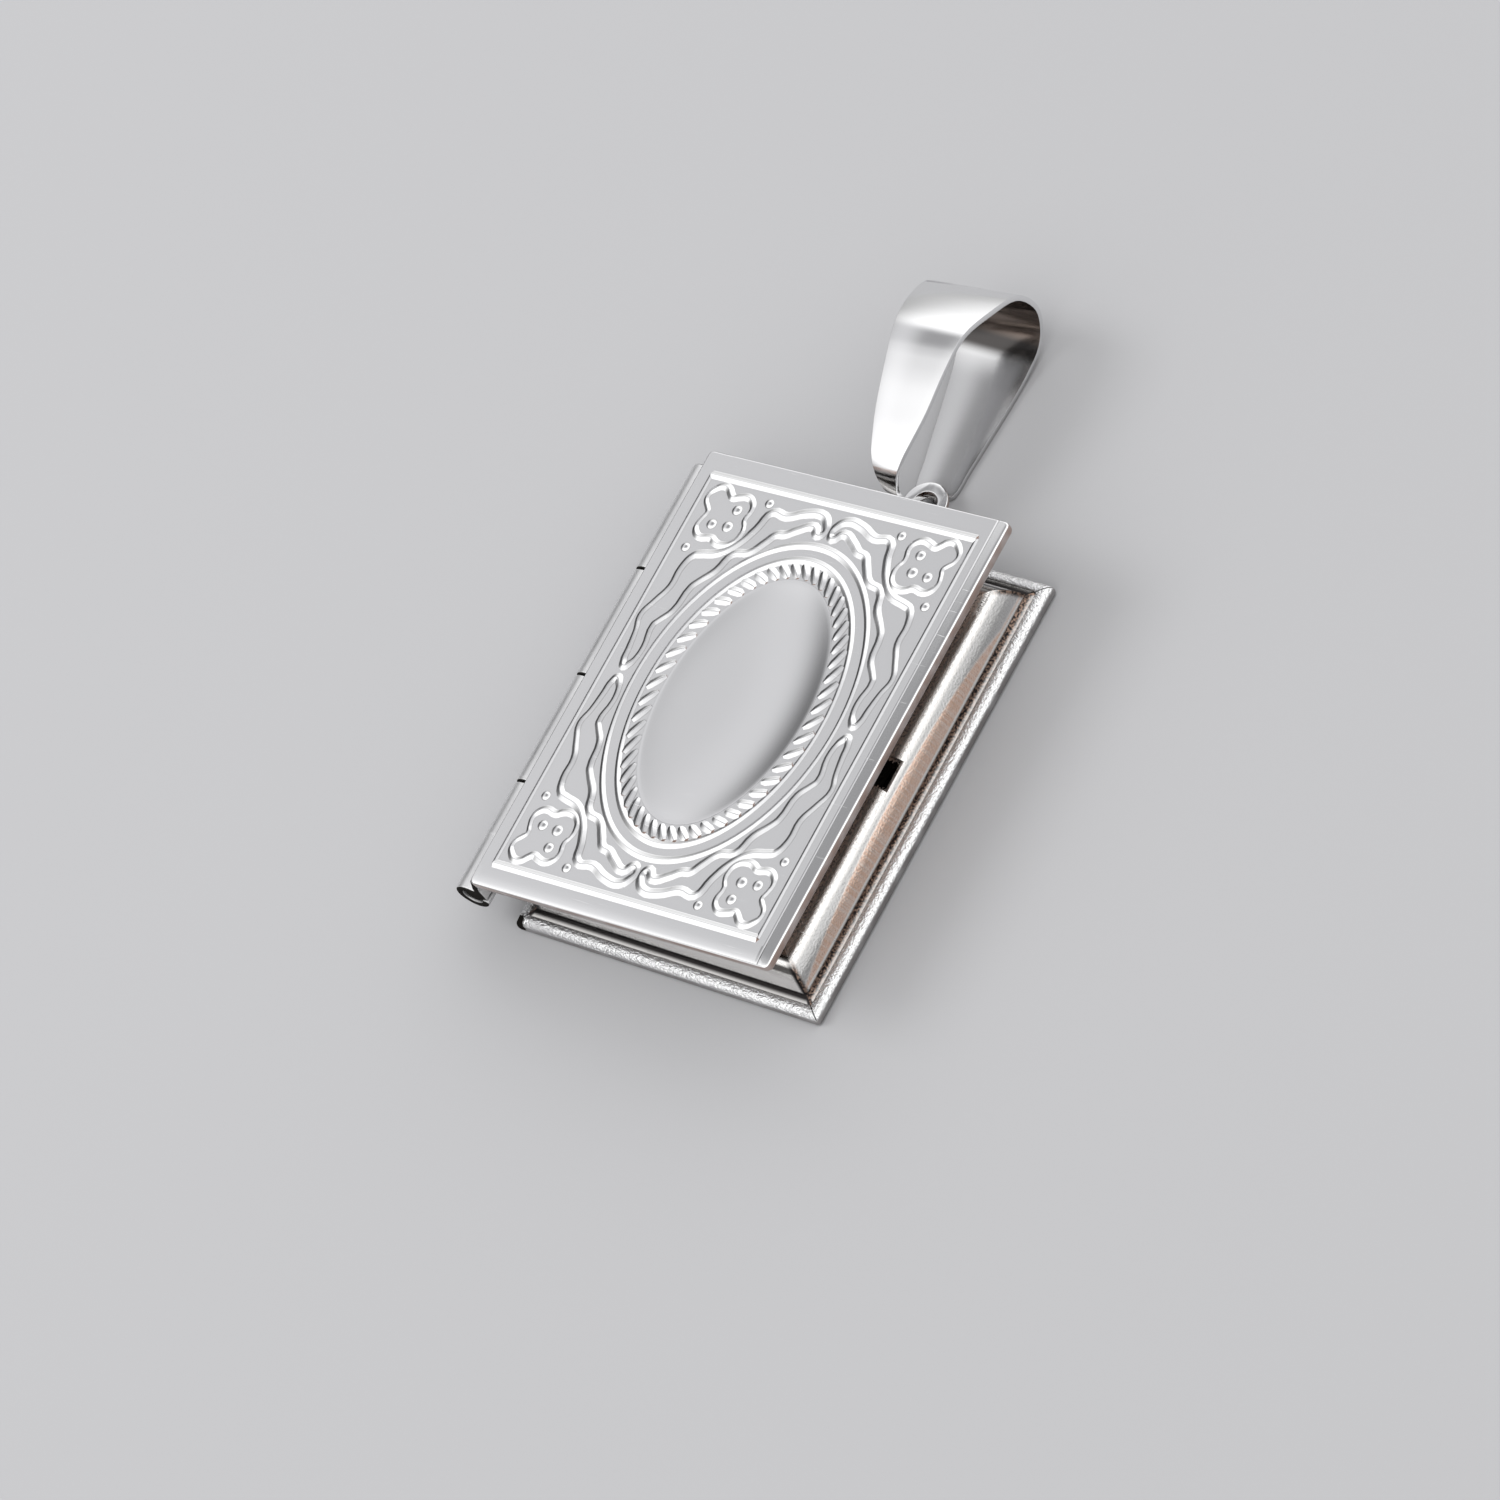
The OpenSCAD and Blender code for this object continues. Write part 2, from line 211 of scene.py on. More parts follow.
def named(name):
    """The object that was just added, under its name."""
    bpy.context.object.name = name
    return bpy.context.object


def add_block(name, low, high):
    """Adds a cube of its size at its place, in millimetres."""
    low, high = Vector(low), Vector(high)
    bpy.ops.mesh.primitive_cube_add(size=1, location=(low + high) / 2, scale=high - low)
    return apply_place(named(name))


def add_plate(name, w, l, z):
    bpy.ops.mesh.primitive_plane_add(size=1, location=(0, 0, z))
    plate = named(name)
    plate.scale = (w, l, 1)
    return apply_place(plate)


def step_in(rows):
    """Insets the picked face from row to row, each row being (inward, along the face's normal)."""
    for (d0, h0), (d1, h1) in zip(rows, rows[1:]):
        bpy.ops.mesh.inset(thickness=d1 - d0, depth=h1 - h0, use_even_offset=True)


def draw_out(x, y, z):
    """Extrudes what is picked by a step."""
    bpy.ops.mesh.extrude_region_move(TRANSFORM_OT_translate={"value": (x, y, z)})


def turn_outward(weld=0):
    """Merges what lies closer than the weld and turns all faces outward, then leaves edit mode."""
    bpy.ops.mesh.select_all(action="SELECT")
    if weld:
        bpy.ops.mesh.remove_doubles(threshold=weld)
    bpy.ops.mesh.normals_make_consistent(inside=False)
    leave_edit()


def apply_modifier(obj, kind, **settings):
    only(obj)
    tool = obj.modifiers.new(kind.lower(), kind)
    for name, value in settings.items():
        setattr(tool, name, value)
    bpy.ops.object.modifier_apply(modifier=tool.name)


def cut(obj, cutter, operation="DIFFERENCE"):
    apply_modifier(obj, "BOOLEAN", operation=operation, solver="EXACT", object=cutter)
    bpy.data.objects.remove(cutter, do_unlink=True)


def give_thickness(obj, thickness, offset=-1):
    apply_modifier(obj, "SOLIDIFY", thickness=thickness, offset=offset, use_even_offset=True)


def round_edges(obj, width, segments=2, angle=35):
    apply_modifier(obj, "BEVEL", width=width, segments=segments, limit_method="ANGLE",
                   angle_limit=math.radians(angle), use_clamp_overlap=True)


def bevel(offset, segments, kind="EDGES"):
    """Bevels what is picked."""
    bpy.ops.mesh.bevel(offset=offset, segments=segments, affect=kind)


def join(name, pieces):
    only(pieces[0])
    for piece in pieces:
        piece.select_set(True)
    bpy.ops.object.join()
    return named(name)


def turned_over(obj):
    """Turns a half made like the back one over, onto the closed locket."""
    obj.matrix_world = (Matrix.Translation((0, 0, 2 * mm("covers", "half_t")))
                        @ Matrix.Rotation(math.pi, 4, "X"))
    apply_place(obj)


def seat(obj, body, material, nodes=(), smooth=35):
    """Brings a piece from millimetres to its place in metres, and gives it its body and finish."""
    place = Matrix.Scale(MM, 4)
    if body == FRONT:
        hinge = Vector(LID_HINGE["pos_m"])
        ajar = Matrix.Rotation(-bpy.context.scene.locket_covers.ajar, 4, "Y")
        place = Matrix.Translation(hinge) @ ajar @ Matrix.Translation(-hinge) @ place
    obj.matrix_world = place
    apply_place(obj)
    bpy.ops.object.shade_smooth_by_angle(angle=math.radians(smooth))
    obj.data.materials.clear()
    obj.data.materials.append(material)
    obj.data.name = obj.name
    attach(obj, body)
    if nodes:
        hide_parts(*nodes)
    return obj


def smooth_row(p0, p1, p2, p3, t):
    """Point at t from 0 to 1 between p1 and p2 on a smooth curve."""
    return tuple(0.5 * (2 * b + (c - a) * t + (2 * a - 5 * b + 4 * c - d) * t * t
                        + (3 * b - a - 3 * c + d) * t ** 3)
                 for a, b, c, d in zip(p0, p1, p2, p3))


def smooth_rows(rows, steps, closed=False):
    n = len(rows)
    out = []
    for i in range(n if closed else n - 1):
        near = [rows[(i + k) % n] if closed else rows[max(0, min(n - 1, i + k))] for k in (-1, 0, 1, 2)]
        out += [smooth_row(*near, s / steps) for s in range(steps)]
    return out if closed else out + [tuple(rows[-1])]


# Finishes. Lengths are in metres, and a pair is the (start, end) of a soft step.
# On the page frames the steps run inward from the cover's edge.

FOOT_START = (0.00070, 0.00092)
FOOT_END = (0.00108, 0.00111)
BAND_FOOT = (0.00112, 0.00115)
BAND_TOP = (0.00112, 0.00120)
BAND_OFF = 0.0012
BAND_HALF = 0.0112
BAND_SWELL = 0.00042
GREY_FOOT = (0.00114, 0.00122)
GREY_TOP = (0.00164, 0.00178)
LOW_SHADE_FOOT = (0.00148, 0.00156)
LOW_SHADE_TOP = (0.00170, 0.00178)
HIGH_SHADE_START = (0.00190, 0.00200)
MITRE_SHADE_SIDE = (0.0001, 0.0004)
MITRE_SHADE_TOP = (0.0016, 0.0021)
FLAT_START = (0.0021, 0.0024)
FLAT_SHADE_FADE = (0.0026, 0.0034)
NOTCH_FLOOR = (0.00246, 0.00252)
NOTCH_SIDE = (0.00110, 0.00118)
TORN_Z = 0.0006
TORN_SHADE_REACH = (0.00088, 0.00098)
LOOP_INSIDE = (0.0001, 0.0008)
LOOP_SHADE_REACH = (0.0250, 0.0257)
GLINT_TURN = (0.0261, 0.0266)
HAIR_SCALE = (260, 9000, 900)
CROSS_SCALE = (300, 7000, 900)
# black of painted shade, in the torn hinge corner and in the thumb notch
SHADE_BLACK = (0.012, 0.011, 0.01, 1)
SHADE_GREY_STEEL = (0.34, 0.345, 0.35, 1)
NEAR_SLOPE_SHADE = (0.045, 0.04, 0.038, 1)
UNDER_LID_SHADE = (0.06, 0.04, 0.03, 1)
GROOVE_SHADE_DARK = (0.022, 0.02, 0.02, 1)
# painted shade and painted brown glints inside the bail's loop
LOOP_SHADE = (0.035, 0.03, 0.028, 1)
LOOP_BROWN_GLINT = (0.20, 0.155, 0.13, 1)
# grey of the painted shade in the cover steel's gaps
GAP_SHADE_GREY = (0.16, 0.16, 0.17)
# near-black painted shade of the hinge's curl ends
HINGE_END_SHADE = (0.02, 0.019, 0.018)
NOTCH_BACK = (0.0019, 0.0020)
NOTCH_RAGGED = 0.0007
STREAKS = (0.30, 0.60, 0.55, 0.95)
WARM_REFLECTION_TONE = 1.22
SHADE_GREY_SHARE = 0.62
NEAR_SHADE_SHARE = 0.88
UNDER_LID_SHARE = 0.8
UNDER_LID_TONE = 0.8
GROOVE_SHADE_TONE = 0.42
FLAT_ROUGH = 0.35
DISH_REACH = (1.5, 1.25)
PLAIN_STEELS = {
    "Polished cover steel": dict(
        gap_shade_colour=GAP_SHADE_GREY, roughness=0.13, spread=0.05, turn=0.5, bump=0.16, reach=0.0004,
        side_colour=(0.40, 0.28, 0.23)),
    # the hinge and pin ends darken and lose their shine as painted shade of the curls' dark hollows
    "Brushed hinge steel": dict(
        gap_shade_colour=(0.04, 0.04, 0.045), roughness=0.40, spread=0.16, turn=1.57, bump=0.25, reach=0.0009,
        side_colour=HINGE_END_SHADE, ends=1.0),
    "Turned pin steel": dict(
        gap_shade_colour=(0.05, 0.05, 0.055), roughness=0.25, spread=0.10, turn=1.57, bump=0.2, reach=0.0009,
        side_colour=HINGE_END_SHADE, ends=1.0)}


def feed(tree, socket, value):
    if isinstance(value, bpy.types.NodeSocket):
        tree.links.new(value, socket)
    else:
        socket.default_value = value


def new_group(name, outputs, **inputs):
    """A node group of plain numbers, with its settings as inputs."""
    tree = bpy.data.node_groups.new(name, "ShaderNodeTree")
    for key, value in inputs.items():
        socket = tree.interface.new_socket(
            key.replace("_", " "), in_out="INPUT", socket_type="NodeSocketFloat")
        socket.default_value = value
    for key in outputs:
        tree.interface.new_socket(key, in_out="OUTPUT", socket_type="NodeSocketFloat")
    return tree, tree.nodes.new("NodeGroupInput").outputs, tree.nodes.new("NodeGroupOutput").inputs


def add_node(tree, kind, settings=None, **inputs):
    node = tree.nodes.new("ShaderNode" + kind)
    for name, value in (settings or {}).items():
        setattr(node, name, value)
    for name, value in inputs.items():
        feed(tree, node.inputs[name.replace("_", " ")], value)
    return node


def sum_node(tree, operation, a, b=0.0, clamp=False):
    node = add_node(tree, "Math", {"operation": operation, "use_clamp": clamp})
    feed(tree, node.inputs[0], a)
    feed(tree, node.inputs[1], b)
    return node.outputs[0]


def times(tree, a, b, clamp=False):
    return sum_node(tree, "MULTIPLY", a, b, clamp)


def plus(tree, a, b, clamp=False):
    return sum_node(tree, "ADD", a, b, clamp)


def minus(tree, a, b, clamp=False):
    return sum_node(tree, "SUBTRACT", a, b, clamp)


def size_of(tree, value):
    return sum_node(tree, "ABSOLUTE", value)


def here(tree, kind="Object"):
    return add_node(tree, "TexCoord").outputs[kind]


def parted(tree, vector):
    return add_node(tree, "SeparateXYZ", Vector=vector).outputs


def noise(tree, place, scale, detail):
    return add_node(tree, "TexNoise", Vector=place, Scale=scale, Detail=detail).outputs[0]


def add_relief(tree, shader, height, strength, distance):
    """Adds a bump over the relief that the finish already has."""
    links = shader.inputs["Normal"].links
    below = {"Normal": links[0].from_socket} if links else {}
    relief = add_node(tree, "Bump", Height=height, Strength=strength, Distance=distance, **below)
    tree.links.new(relief.outputs[0], shader.inputs["Normal"])


def fade(tree, value, start, end, low, high):
    """Smooth change from low to high while a value goes from start to end."""
    node = add_node(tree, "MapRange", {"interpolation_type": "SMOOTHSTEP"}, Value=value)
    for name, number in (("From Min", start), ("From Max", end), ("To Min", low), ("To Max", high)):
        node.inputs[name].default_value = number
    return node.outputs[0]


def rising(tree, value, step):
    return fade(tree, value, *step, 0.0, 1.0)


def falling(tree, value, step):
    return fade(tree, value, *step, 1.0, 0.0)


def vector_sum(tree, operation, a, b):
    node = add_node(tree, "VectorMath", {"operation": operation})
    feed(tree, node.inputs[0], a)
    feed(tree, node.inputs[1], b)
    return node.outputs


def blend_node(tree, share, a, b):
    node = add_node(tree, "Mix", {"data_type": "RGBA"})
    for socket, value in ((0, share), (6, a), (7, b)):
        feed(tree, node.inputs[socket], value)
    return node.outputs[2]


def fine_scratches():
    """Hairlines, faint smears and tiny pits of a polished steel sheet."""
    tree, into, out = new_group(
        "Fine scratches", ("Roughness", "Height"), Roughness=0.15, Spread=0.06, Turn=0.5, Grain=0.0)
    place = here(tree)
    turn = add_node(tree, "CombineXYZ", Z=into["Turn"])
    lay = add_node(tree, "Mapping", Vector=place, Rotation=turn.outputs[0], Scale=HAIR_SCALE)
    across = add_node(tree, "Mapping", Vector=place, Rotation=(0, 0, 1.9), Scale=CROSS_SCALE)
    hair, cross = (noise(tree, drawn.outputs[0], 1.0, 3.0) for drawn in (lay, across))
    smear = noise(tree, place, 420.0, 4.0)
    lines = fade(tree, sum_node(tree, "MAXIMUM", hair, cross), 0.66, 0.80, 0.0, 1.0)
    wave = times(tree, minus(tree, smear, 0.5), into["Spread"])
    rough = plus(tree, into["Roughness"], wave)
    feed(tree, out["Roughness"], plus(tree, rough, times(tree, lines, into["Spread"])))
    grains = times(tree, noise(tree, place, 8500.0, 3.0), into["Grain"])
    soft = times(tree, smear, 0.3)
    feed(tree, out["Height"], plus(tree, minus(tree, soft, lines), grains))
    return tree


def side_tint():
    """Mask of the upright sides, or with Ends only of the ends alone, patchy, where the steel takes a darker
    side colour.
    """
    tree, into, out = new_group("Side tint", ("Mask",), Strength=1.0, Ends_only=0.0)
    _, y, z = parted(tree, here(tree, "Normal"))
    sides = fade(tree, size_of(tree, z), 0.15, 0.6, 1.0, 0.0)
    ends = fade(tree, size_of(tree, y), 0.3, 0.75, 0.0, 1.0)
    all_sides = times(tree, sides, minus(tree, 1.0, into["Ends only"]))
    upright = plus(tree, times(tree, ends, into["Ends only"]), all_sides)
    patchy = fade(tree, noise(tree, here(tree), 600.0, 3.0), 0.3, 0.6, 0.6, 1.0)
    feed(tree, out["Mask"], times(tree, times(tree, upright, patchy), into["Strength"], clamp=True))
    return tree


def painted_gap_shade():
    """Mask of the narrow gaps and creases, where the colour is darkened as painted shade."""
    tree, into, out = new_group("Painted gap shade", ("Mask",), Reach=0.0005, Strength=1.0)
    shade = add_node(tree, "AmbientOcclusion", {"samples": 8}, Distance=into["Reach"])
    closed = sum_node(tree, "POWER", minus(tree, 1.0, shade.outputs["AO"]), 1.4)
    feed(tree, out["Mask"], times(tree, closed, into["Strength"], clamp=True))
    return tree


def drawn_lines():
    """Lines that the drawing die left up the slopes, and where a point lies on the page frame."""
    tree, into, out = new_group(
        "Drawn lines", ("Lines", "Inward", "Mitre", "Fore", "Along", "Specks"),
        Half_width=0.01, Half_length=0.0134, Density=14000.0)
    place = here(tree)
    x, y, z = parted(tree, place)
    near_x = minus(tree, into["Half width"], size_of(tree, x))
    near_y = minus(tree, into["Half length"], size_of(tree, y))
    fore = sum_node(tree, "LESS_THAN", near_x, near_y)
    run = plus(tree, times(tree, y, fore), times(tree, x, minus(tree, 1.0, fore)))
    along = add_node(tree, "CombineXYZ", X=run, Y=times(tree, z, 0.03))
    feed(tree, out["Lines"], noise(tree, along.outputs[0], into["Density"], 2.0))
    feed(tree, out["Inward"], sum_node(tree, "MINIMUM", near_x, near_y))
    feed(tree, out["Mitre"], size_of(tree, minus(tree, near_x, near_y)))
    feed(tree, out["Fore"], fore)
    feed(tree, out["Along"], y)
    feed(tree, out["Specks"], noise(tree, place, 9000.0, 2.0))
    return tree


def use_group(tree, name, maker, **inputs):
    """Adds a shared group, made when it's first used, and gives its outputs."""
    node = tree.nodes.new("ShaderNodeGroup")
    node.node_tree = bpy.data.node_groups.get(name) or maker()
    for key, value in inputs.items():
        node.inputs[key.replace("_", " ")].default_value = value
    return node.outputs


def colour_over(tree, shader, share, tint):
    """Lays a tint over the finish where its share says."""
    below = shader.inputs["Base Color"].links[0].from_socket
    tree.links.new(blend_node(tree, share, below, tint), shader.inputs["Base Color"])


def new_material(name):
    """A new material with its node tree and its shader."""
    material = bpy.data.materials.new(name)
    material.use_nodes = True
    return material, material.node_tree, material.node_tree.nodes["Principled BSDF"]


def steel_finish(name, colour, gap_shade_colour, roughness, spread, turn, bump, reach, grain=0.0, side_colour=None,
                 ends=0.0):
    """Polished steel: scratches in roughness and bump, painted shade in the gaps and tinted sides in colour.
    """
    material, tree, shader = new_material(name)
    shader.inputs["Metallic"].default_value = 1.0
    scratches = use_group(tree, "Fine scratches", fine_scratches,
                          Roughness=roughness, Spread=spread, Turn=turn, Grain=grain)
    gaps = use_group(tree, "Painted gap shade", painted_gap_shade, Reach=reach, Strength=1.2)
    # painted shade: the gaps' mask darkens the colour towards the gap shade colour
    tint = blend_node(tree, gaps[0], (*colour, 1), (*gap_shade_colour, 1))
    feed(tree, shader.inputs["Base Color"], tint)
    if side_colour:
        sides = use_group(tree, "Side tint", side_tint, Strength=1.7 if ends else 0.9, Ends_only=ends)
        colour_over(tree, shader, sides[0], (*side_colour, 1))
        # painted shade: at the ends the side colour also takes the metal's shine away
        if ends:
            bare(tree, shader, sides[0])
    feed(tree, shader.inputs["Roughness"], scratches["Roughness"])
    add_relief(tree, shader, scratches["Height"], bump, 0.00002)
    return material, tree, shader


def bare(tree, shader, share):
    """Takes away the metal's shine where a share says, so that painted shade there reads flat black."""
    shader.inputs["Specular IOR Level"].default_value = 0.0
    feed(tree, shader.inputs["Metallic"], minus(tree, 1.0, share))


def rim_finish(name, colour):
    """Grainy steel of the rolled rim, painted black as shade where its near hinge corner is torn away."""
    material, tree, shader = steel_finish(
        name, colour, gap_shade_colour=(0.04, 0.036, 0.033), roughness=0.17, spread=0.10, turn=0.5, bump=0.9,
        reach=0.0009, grain=3.4, side_colour=(0.30, 0.28, 0.27))
    covers = bpy.context.scene.locket_covers
    place = here(tree)
    corner = (-covers.cover_w / 2, -covers.cover_l / 2, TORN_Z)
    from_corner = vector_sum(tree, "DISTANCE", place, corner)["Value"]
    ragged = times(tree, noise(tree, place, 2600.0, 3.0), 0.0005)
    # painted shade: the torn corner's mask paints it black and takes its shine away
    torn = fade(tree, plus(tree, from_corner, ragged), *TORN_SHADE_REACH, 1.0, 0.0)
    colour_over(tree, shader, torn, SHADE_BLACK)
    bare(tree, shader, torn)
    add_relief(tree, shader, noise(tree, place, 4800.0, 2.0), 0.8, 0.00005)
    return material


def page_finish(name, colour, painted_warm_tint):
    """Drawn steel of the page frames: lines up the slopes, a coppery painted reflection low on the fore
    slope, and painted shade in bands, grooves, the notch and under the lid.
    """
    material, tree, shader = steel_finish(
        name, colour, gap_shade_colour=(0.10, 0.09, 0.09), roughness=0.20, spread=0.12, turn=1.2, bump=0.7,
        reach=0.0007, grain=1.3)
    covers = bpy.context.scene.locket_covers
    drawn = use_group(tree, "Drawn lines", drawn_lines,
                      Half_width=covers.cover_w / 2, Half_length=covers.cover_l / 2)
    inward, on_fore, specks = (drawn[output] for output in ("Inward", "Fore", "Specks"))
    _, y, z = parted(tree, here(tree))

    def tinted(share):
        return (*(min(1, share * c) for c in painted_warm_tint), 1)

    # the painted warm reflection is a coppery band, a long lens widest near the middle of the fore edge
    share = sum_node(tree, "DIVIDE", plus(tree, drawn["Along"], BAND_OFF), BAND_HALF)
    wide = minus(tree, 1.0, times(tree, share, share), clamp=True)
    past = minus(tree, inward, times(tree, wide, BAND_SWELL))
    band = times(tree, rising(tree, inward, BAND_FOOT), falling(tree, past, BAND_TOP))
    streak = fade(tree, drawn["Lines"], *STREAKS)
    band = times(tree, times(tree, band, streak), on_fore)
    # painted shade: a grey band on the fore slope between the white and the coppery band
    grey = times(tree, rising(tree, past, GREY_FOOT), falling(tree, inward, GREY_TOP))
    colour_over(tree, shader, times(tree, grey, times(tree, on_fore, SHADE_GREY_SHARE)), SHADE_GREY_STEEL)
    colour_over(tree, shader, band, tinted(WARM_REFLECTION_TONE))
    # on the near side two bands of painted shade run along the slope
    low_shade_band = times(tree, rising(tree, inward, LOW_SHADE_FOOT), falling(tree, inward, LOW_SHADE_TOP))
    near_shade = plus(tree, low_shade_band, rising(tree, inward, HIGH_SHADE_START), clamp=True)
    near_shade = times(tree, near_shade, times(tree, minus(tree, 1.0, on_fore), NEAR_SHADE_SHARE))
    colour_over(tree, shader, near_shade, NEAR_SLOPE_SHADE)
    # painted shade: the flat face under the lid is darkened with dark and warm specks; it is also made
    # rougher
    flat = times(tree, rising(tree, inward, FLAT_START), fade(tree, inward, *FLAT_SHADE_FADE, 1.0, 0.15))
    under_lid_shade = blend_node(tree, fade(tree, specks, 0.34, 0.56, 0.0, 1.0), UNDER_LID_SHADE, tinted(UNDER_LID_TONE))
    colour_over(tree, shader, times(tree, flat, UNDER_LID_SHARE), under_lid_shade)
    # painted shade: dark specks at the mitre corners and in the groove at the slope's foot, warmer on the
    # fore side
    crease = times(tree, falling(tree, drawn["Mitre"], MITRE_SHADE_SIDE),
                   falling(tree, inward, MITRE_SHADE_TOP))
    foot = times(tree, falling(tree, inward, FOOT_END), fade(tree, inward, *FOOT_START, 0.45, 1.0))
    groove_shade = blend_node(tree, times(tree, fade(tree, specks, 0.42, 0.58, 0.0, 1.0), on_fore),
                      GROOVE_SHADE_DARK, tinted(GROOVE_SHADE_TONE))
    colour_over(tree, shader, sum_node(tree, "MAXIMUM", foot, crease), groove_shade)
    # painted shade: the thumb notch is painted black inside, with a ragged edge
    notch = times(tree, falling(tree, z, NOTCH_FLOOR), rising(tree, inward, NOTCH_BACK))
    aside = plus(tree, size_of(tree, y), times(tree, specks, NOTCH_RAGGED))
    colour_over(tree, shader, times(tree, notch, falling(tree, aside, NOTCH_SIDE)), SHADE_BLACK)
    rough = shader.inputs["Roughness"].links[0].from_socket
    feed(tree, shader.inputs["Roughness"], plus(tree, rough, times(tree, flat, FLAT_ROUGH), clamp=True))
    add_relief(tree, shader, drawn["Lines"], 0.35, 0.00003)
    return material


def ribbon_finish(name, colour):
    """Bright steel of the ribbon, with painted shade inside its loop and painted brown glints round its far
    bend.
    """
    material, tree, shader = steel_finish(
        name, colour, gap_shade_colour=(0.10, 0.08, 0.07), roughness=0.17, spread=0.06, turn=0.1, bump=0.06,
        reach=0.001)
    place = here(tree)
    to_middle = vector_sum(tree, "SUBTRACT", [c * MM for c in LOOP_MIDDLE], place)[0]
    facing = vector_sum(tree, "DOT_PRODUCT", to_middle, here(tree, "Normal"))["Value"]
    inside = rising(tree, facing, LOOP_INSIDE)
    _, y, _ = parted(tree, place)
    loop_shade_and_glint = blend_node(tree, rising(tree, y, GLINT_TURN), LOOP_SHADE, LOOP_BROWN_GLINT)
    colour_over(tree, shader, times(tree, inside, fade(tree, y, *LOOP_SHADE_REACH, 0.16, 0.95)), loop_shade_and_glint)
    return material


def oval_finish(name, colour):
    """Polished steel whose surface rises gently towards the oval's edge."""
    material, tree, shader = steel_finish(
        name, colour, gap_shade_colour=GAP_SHADE_GREY, roughness=0.13, spread=0.05, turn=0.5, bump=0.10, reach=0.0002)
    ornament = bpy.context.scene.locket_ornament
    share = add_node(tree, "Mapping", {"vector_type": "TEXTURE"}, Vector=here(tree),
                     Location=((ORNAMENT_X - DISH_OFF) * MM, DISH_Y * MM, 0),
                     Scale=(DISH_REACH[0] * ornament.frame_a * OVAL[0],
                            DISH_REACH[1] * ornament.frame_b * OVAL[1], 1))
    x, y, _ = parted(tree, share.outputs[0])
    reach = sum_node(tree, "SQRT", plus(tree, times(tree, x, x), times(tree, y, y)))
    add_relief(tree, shader, sum_node(tree, "POWER", reach, DISH_POWER), 1.0, DISH_RISE * MM)
    return material


def finish(name):
    """The finish of a piece by its plain name, made when first asked for."""
    made = bpy.data.materials.get(name)
    if made:
        return made
    pages = bpy.context.scene.locket_pages
    steel = tuple(bpy.context.scene.locket_covers.steel)
    if name in PLAIN_STEELS:
        return steel_finish(name, steel, **PLAIN_STEELS[name])[0]
    if name == "Dished oval steel":
        return oval_finish(name, steel)
    if name == "Rolled rim steel":
        return rim_finish(name, steel)
    if name == "Drawn page steel":
        return page_finish(name, tuple(pages.warm_steel), tuple(pages.painted_warm_tint))
    return ribbon_finish(name, steel)


# Covers, in millimetres. A bend is (way, rows inward, crease, drop, power), a blade is (low, high).

BACK_CORNER_R = 0.4
BACK_EDGE_R = 0.22
LID_CORNER_R = 0.5
LID_EDGE_R = 0.1
RIM_SIDE = 0.59
RIM_INSIDE = ((0.06, 0.04), (0.09, 0.12))
RIM_FOOT = 0.1
SLIT_EDGE_R = 0.03
BEND_DEPTH = 0.3
FORE_BEND = ("x", (0.78, 0.70, 0.62, 0.35), 0.035, 0.07, 1.0)
NEAR_BEND = ("y", (1.05, 0.85, 0.65, 0.45, 0.25), 0.0, 0.10, 2.0)
GUARD_CUTS = (0.4, 0.9)
SLIT = ((-0.62, -0.03, -0.2), (0.62, 0.03, 0.3))
SLIT_Z = 0.72
TEAR = ((-0.5, -0.5, -0.45), (0.5, 0.5, 0.5))
TEAR_TURN = 12
TEAR_TILT = 14
HINGE_OUT = 1.7
CURL_STEPS = 22
CURL_ANGLE = 295
CURL_MEET = 48
CURL_EDGE_R = 0.11
LEAF_END = ((0.5, -0.12), (0.05, -0.14))
LEAF_ROWS = ((0.80, 0.82), (0.62, 0.62), (0.47, 0.43))
PIN_END_R = 0.16


def rim_rows():
    """Outer side of the rolled rim, as (inward, up) in millimetres."""
    w, h = mm("covers", "rim_w"), mm("covers", "rim_h")
    side = RIM_SIDE * h
    quarter = [math.radians(90 * i / 4) for i in range(5)]
    rows = [(w * (1 - math.cos(t)), side + (h - side) * math.sin(t)) for t in quarter]
    return side, rows


def cover_tray(name, over, corner_r, edge_r, creases):
    """Sheet with a rolled rim all round, outer face at z 0."""
    w = mm("covers", "cover_w") + 2 * over
    l = mm("covers", "cover_l") + 2 * over
    side, rows = rim_rows()
    crest_d, crest_h = rows[-1]
    tray = add_block(name, (-w / 2, -l / 2, 0), (w / 2, l / 2, side))
    if corner_r > crest_d:
        pick(tray, "EDGE", lambda m, d: abs(d.z) > side / 2)
        bevel(corner_r, 6)
    pick(tray, "FACE", lambda c, n: n.z > 0.9)
    step_in(rows + [(crest_d + d, crest_h - h) for d, h in RIM_INSIDE]
            + [(crest_d + RIM_FOOT, mm("covers", "sheet_t"))])
    if corner_r <= crest_d:
        slack = crest_d + 0.05
        pick(tray, "EDGE", lambda m, d: abs(m.x) > w / 2 - slack and abs(m.y) > l / 2 - slack
             and (abs(d.z) > side / 2 or (m.z > side and abs(d.x) > 0 and abs(abs(d.x) - abs(d.y)) < 1e-4)))
        bevel(corner_r / 2, 3)
    pick(tray, "EDGE", lambda m, d: m.z < 1e-4)
    bevel(edge_r, 4)
    if creases:
        bend_border(tray, w, l)
    leave_edit()
    return tray


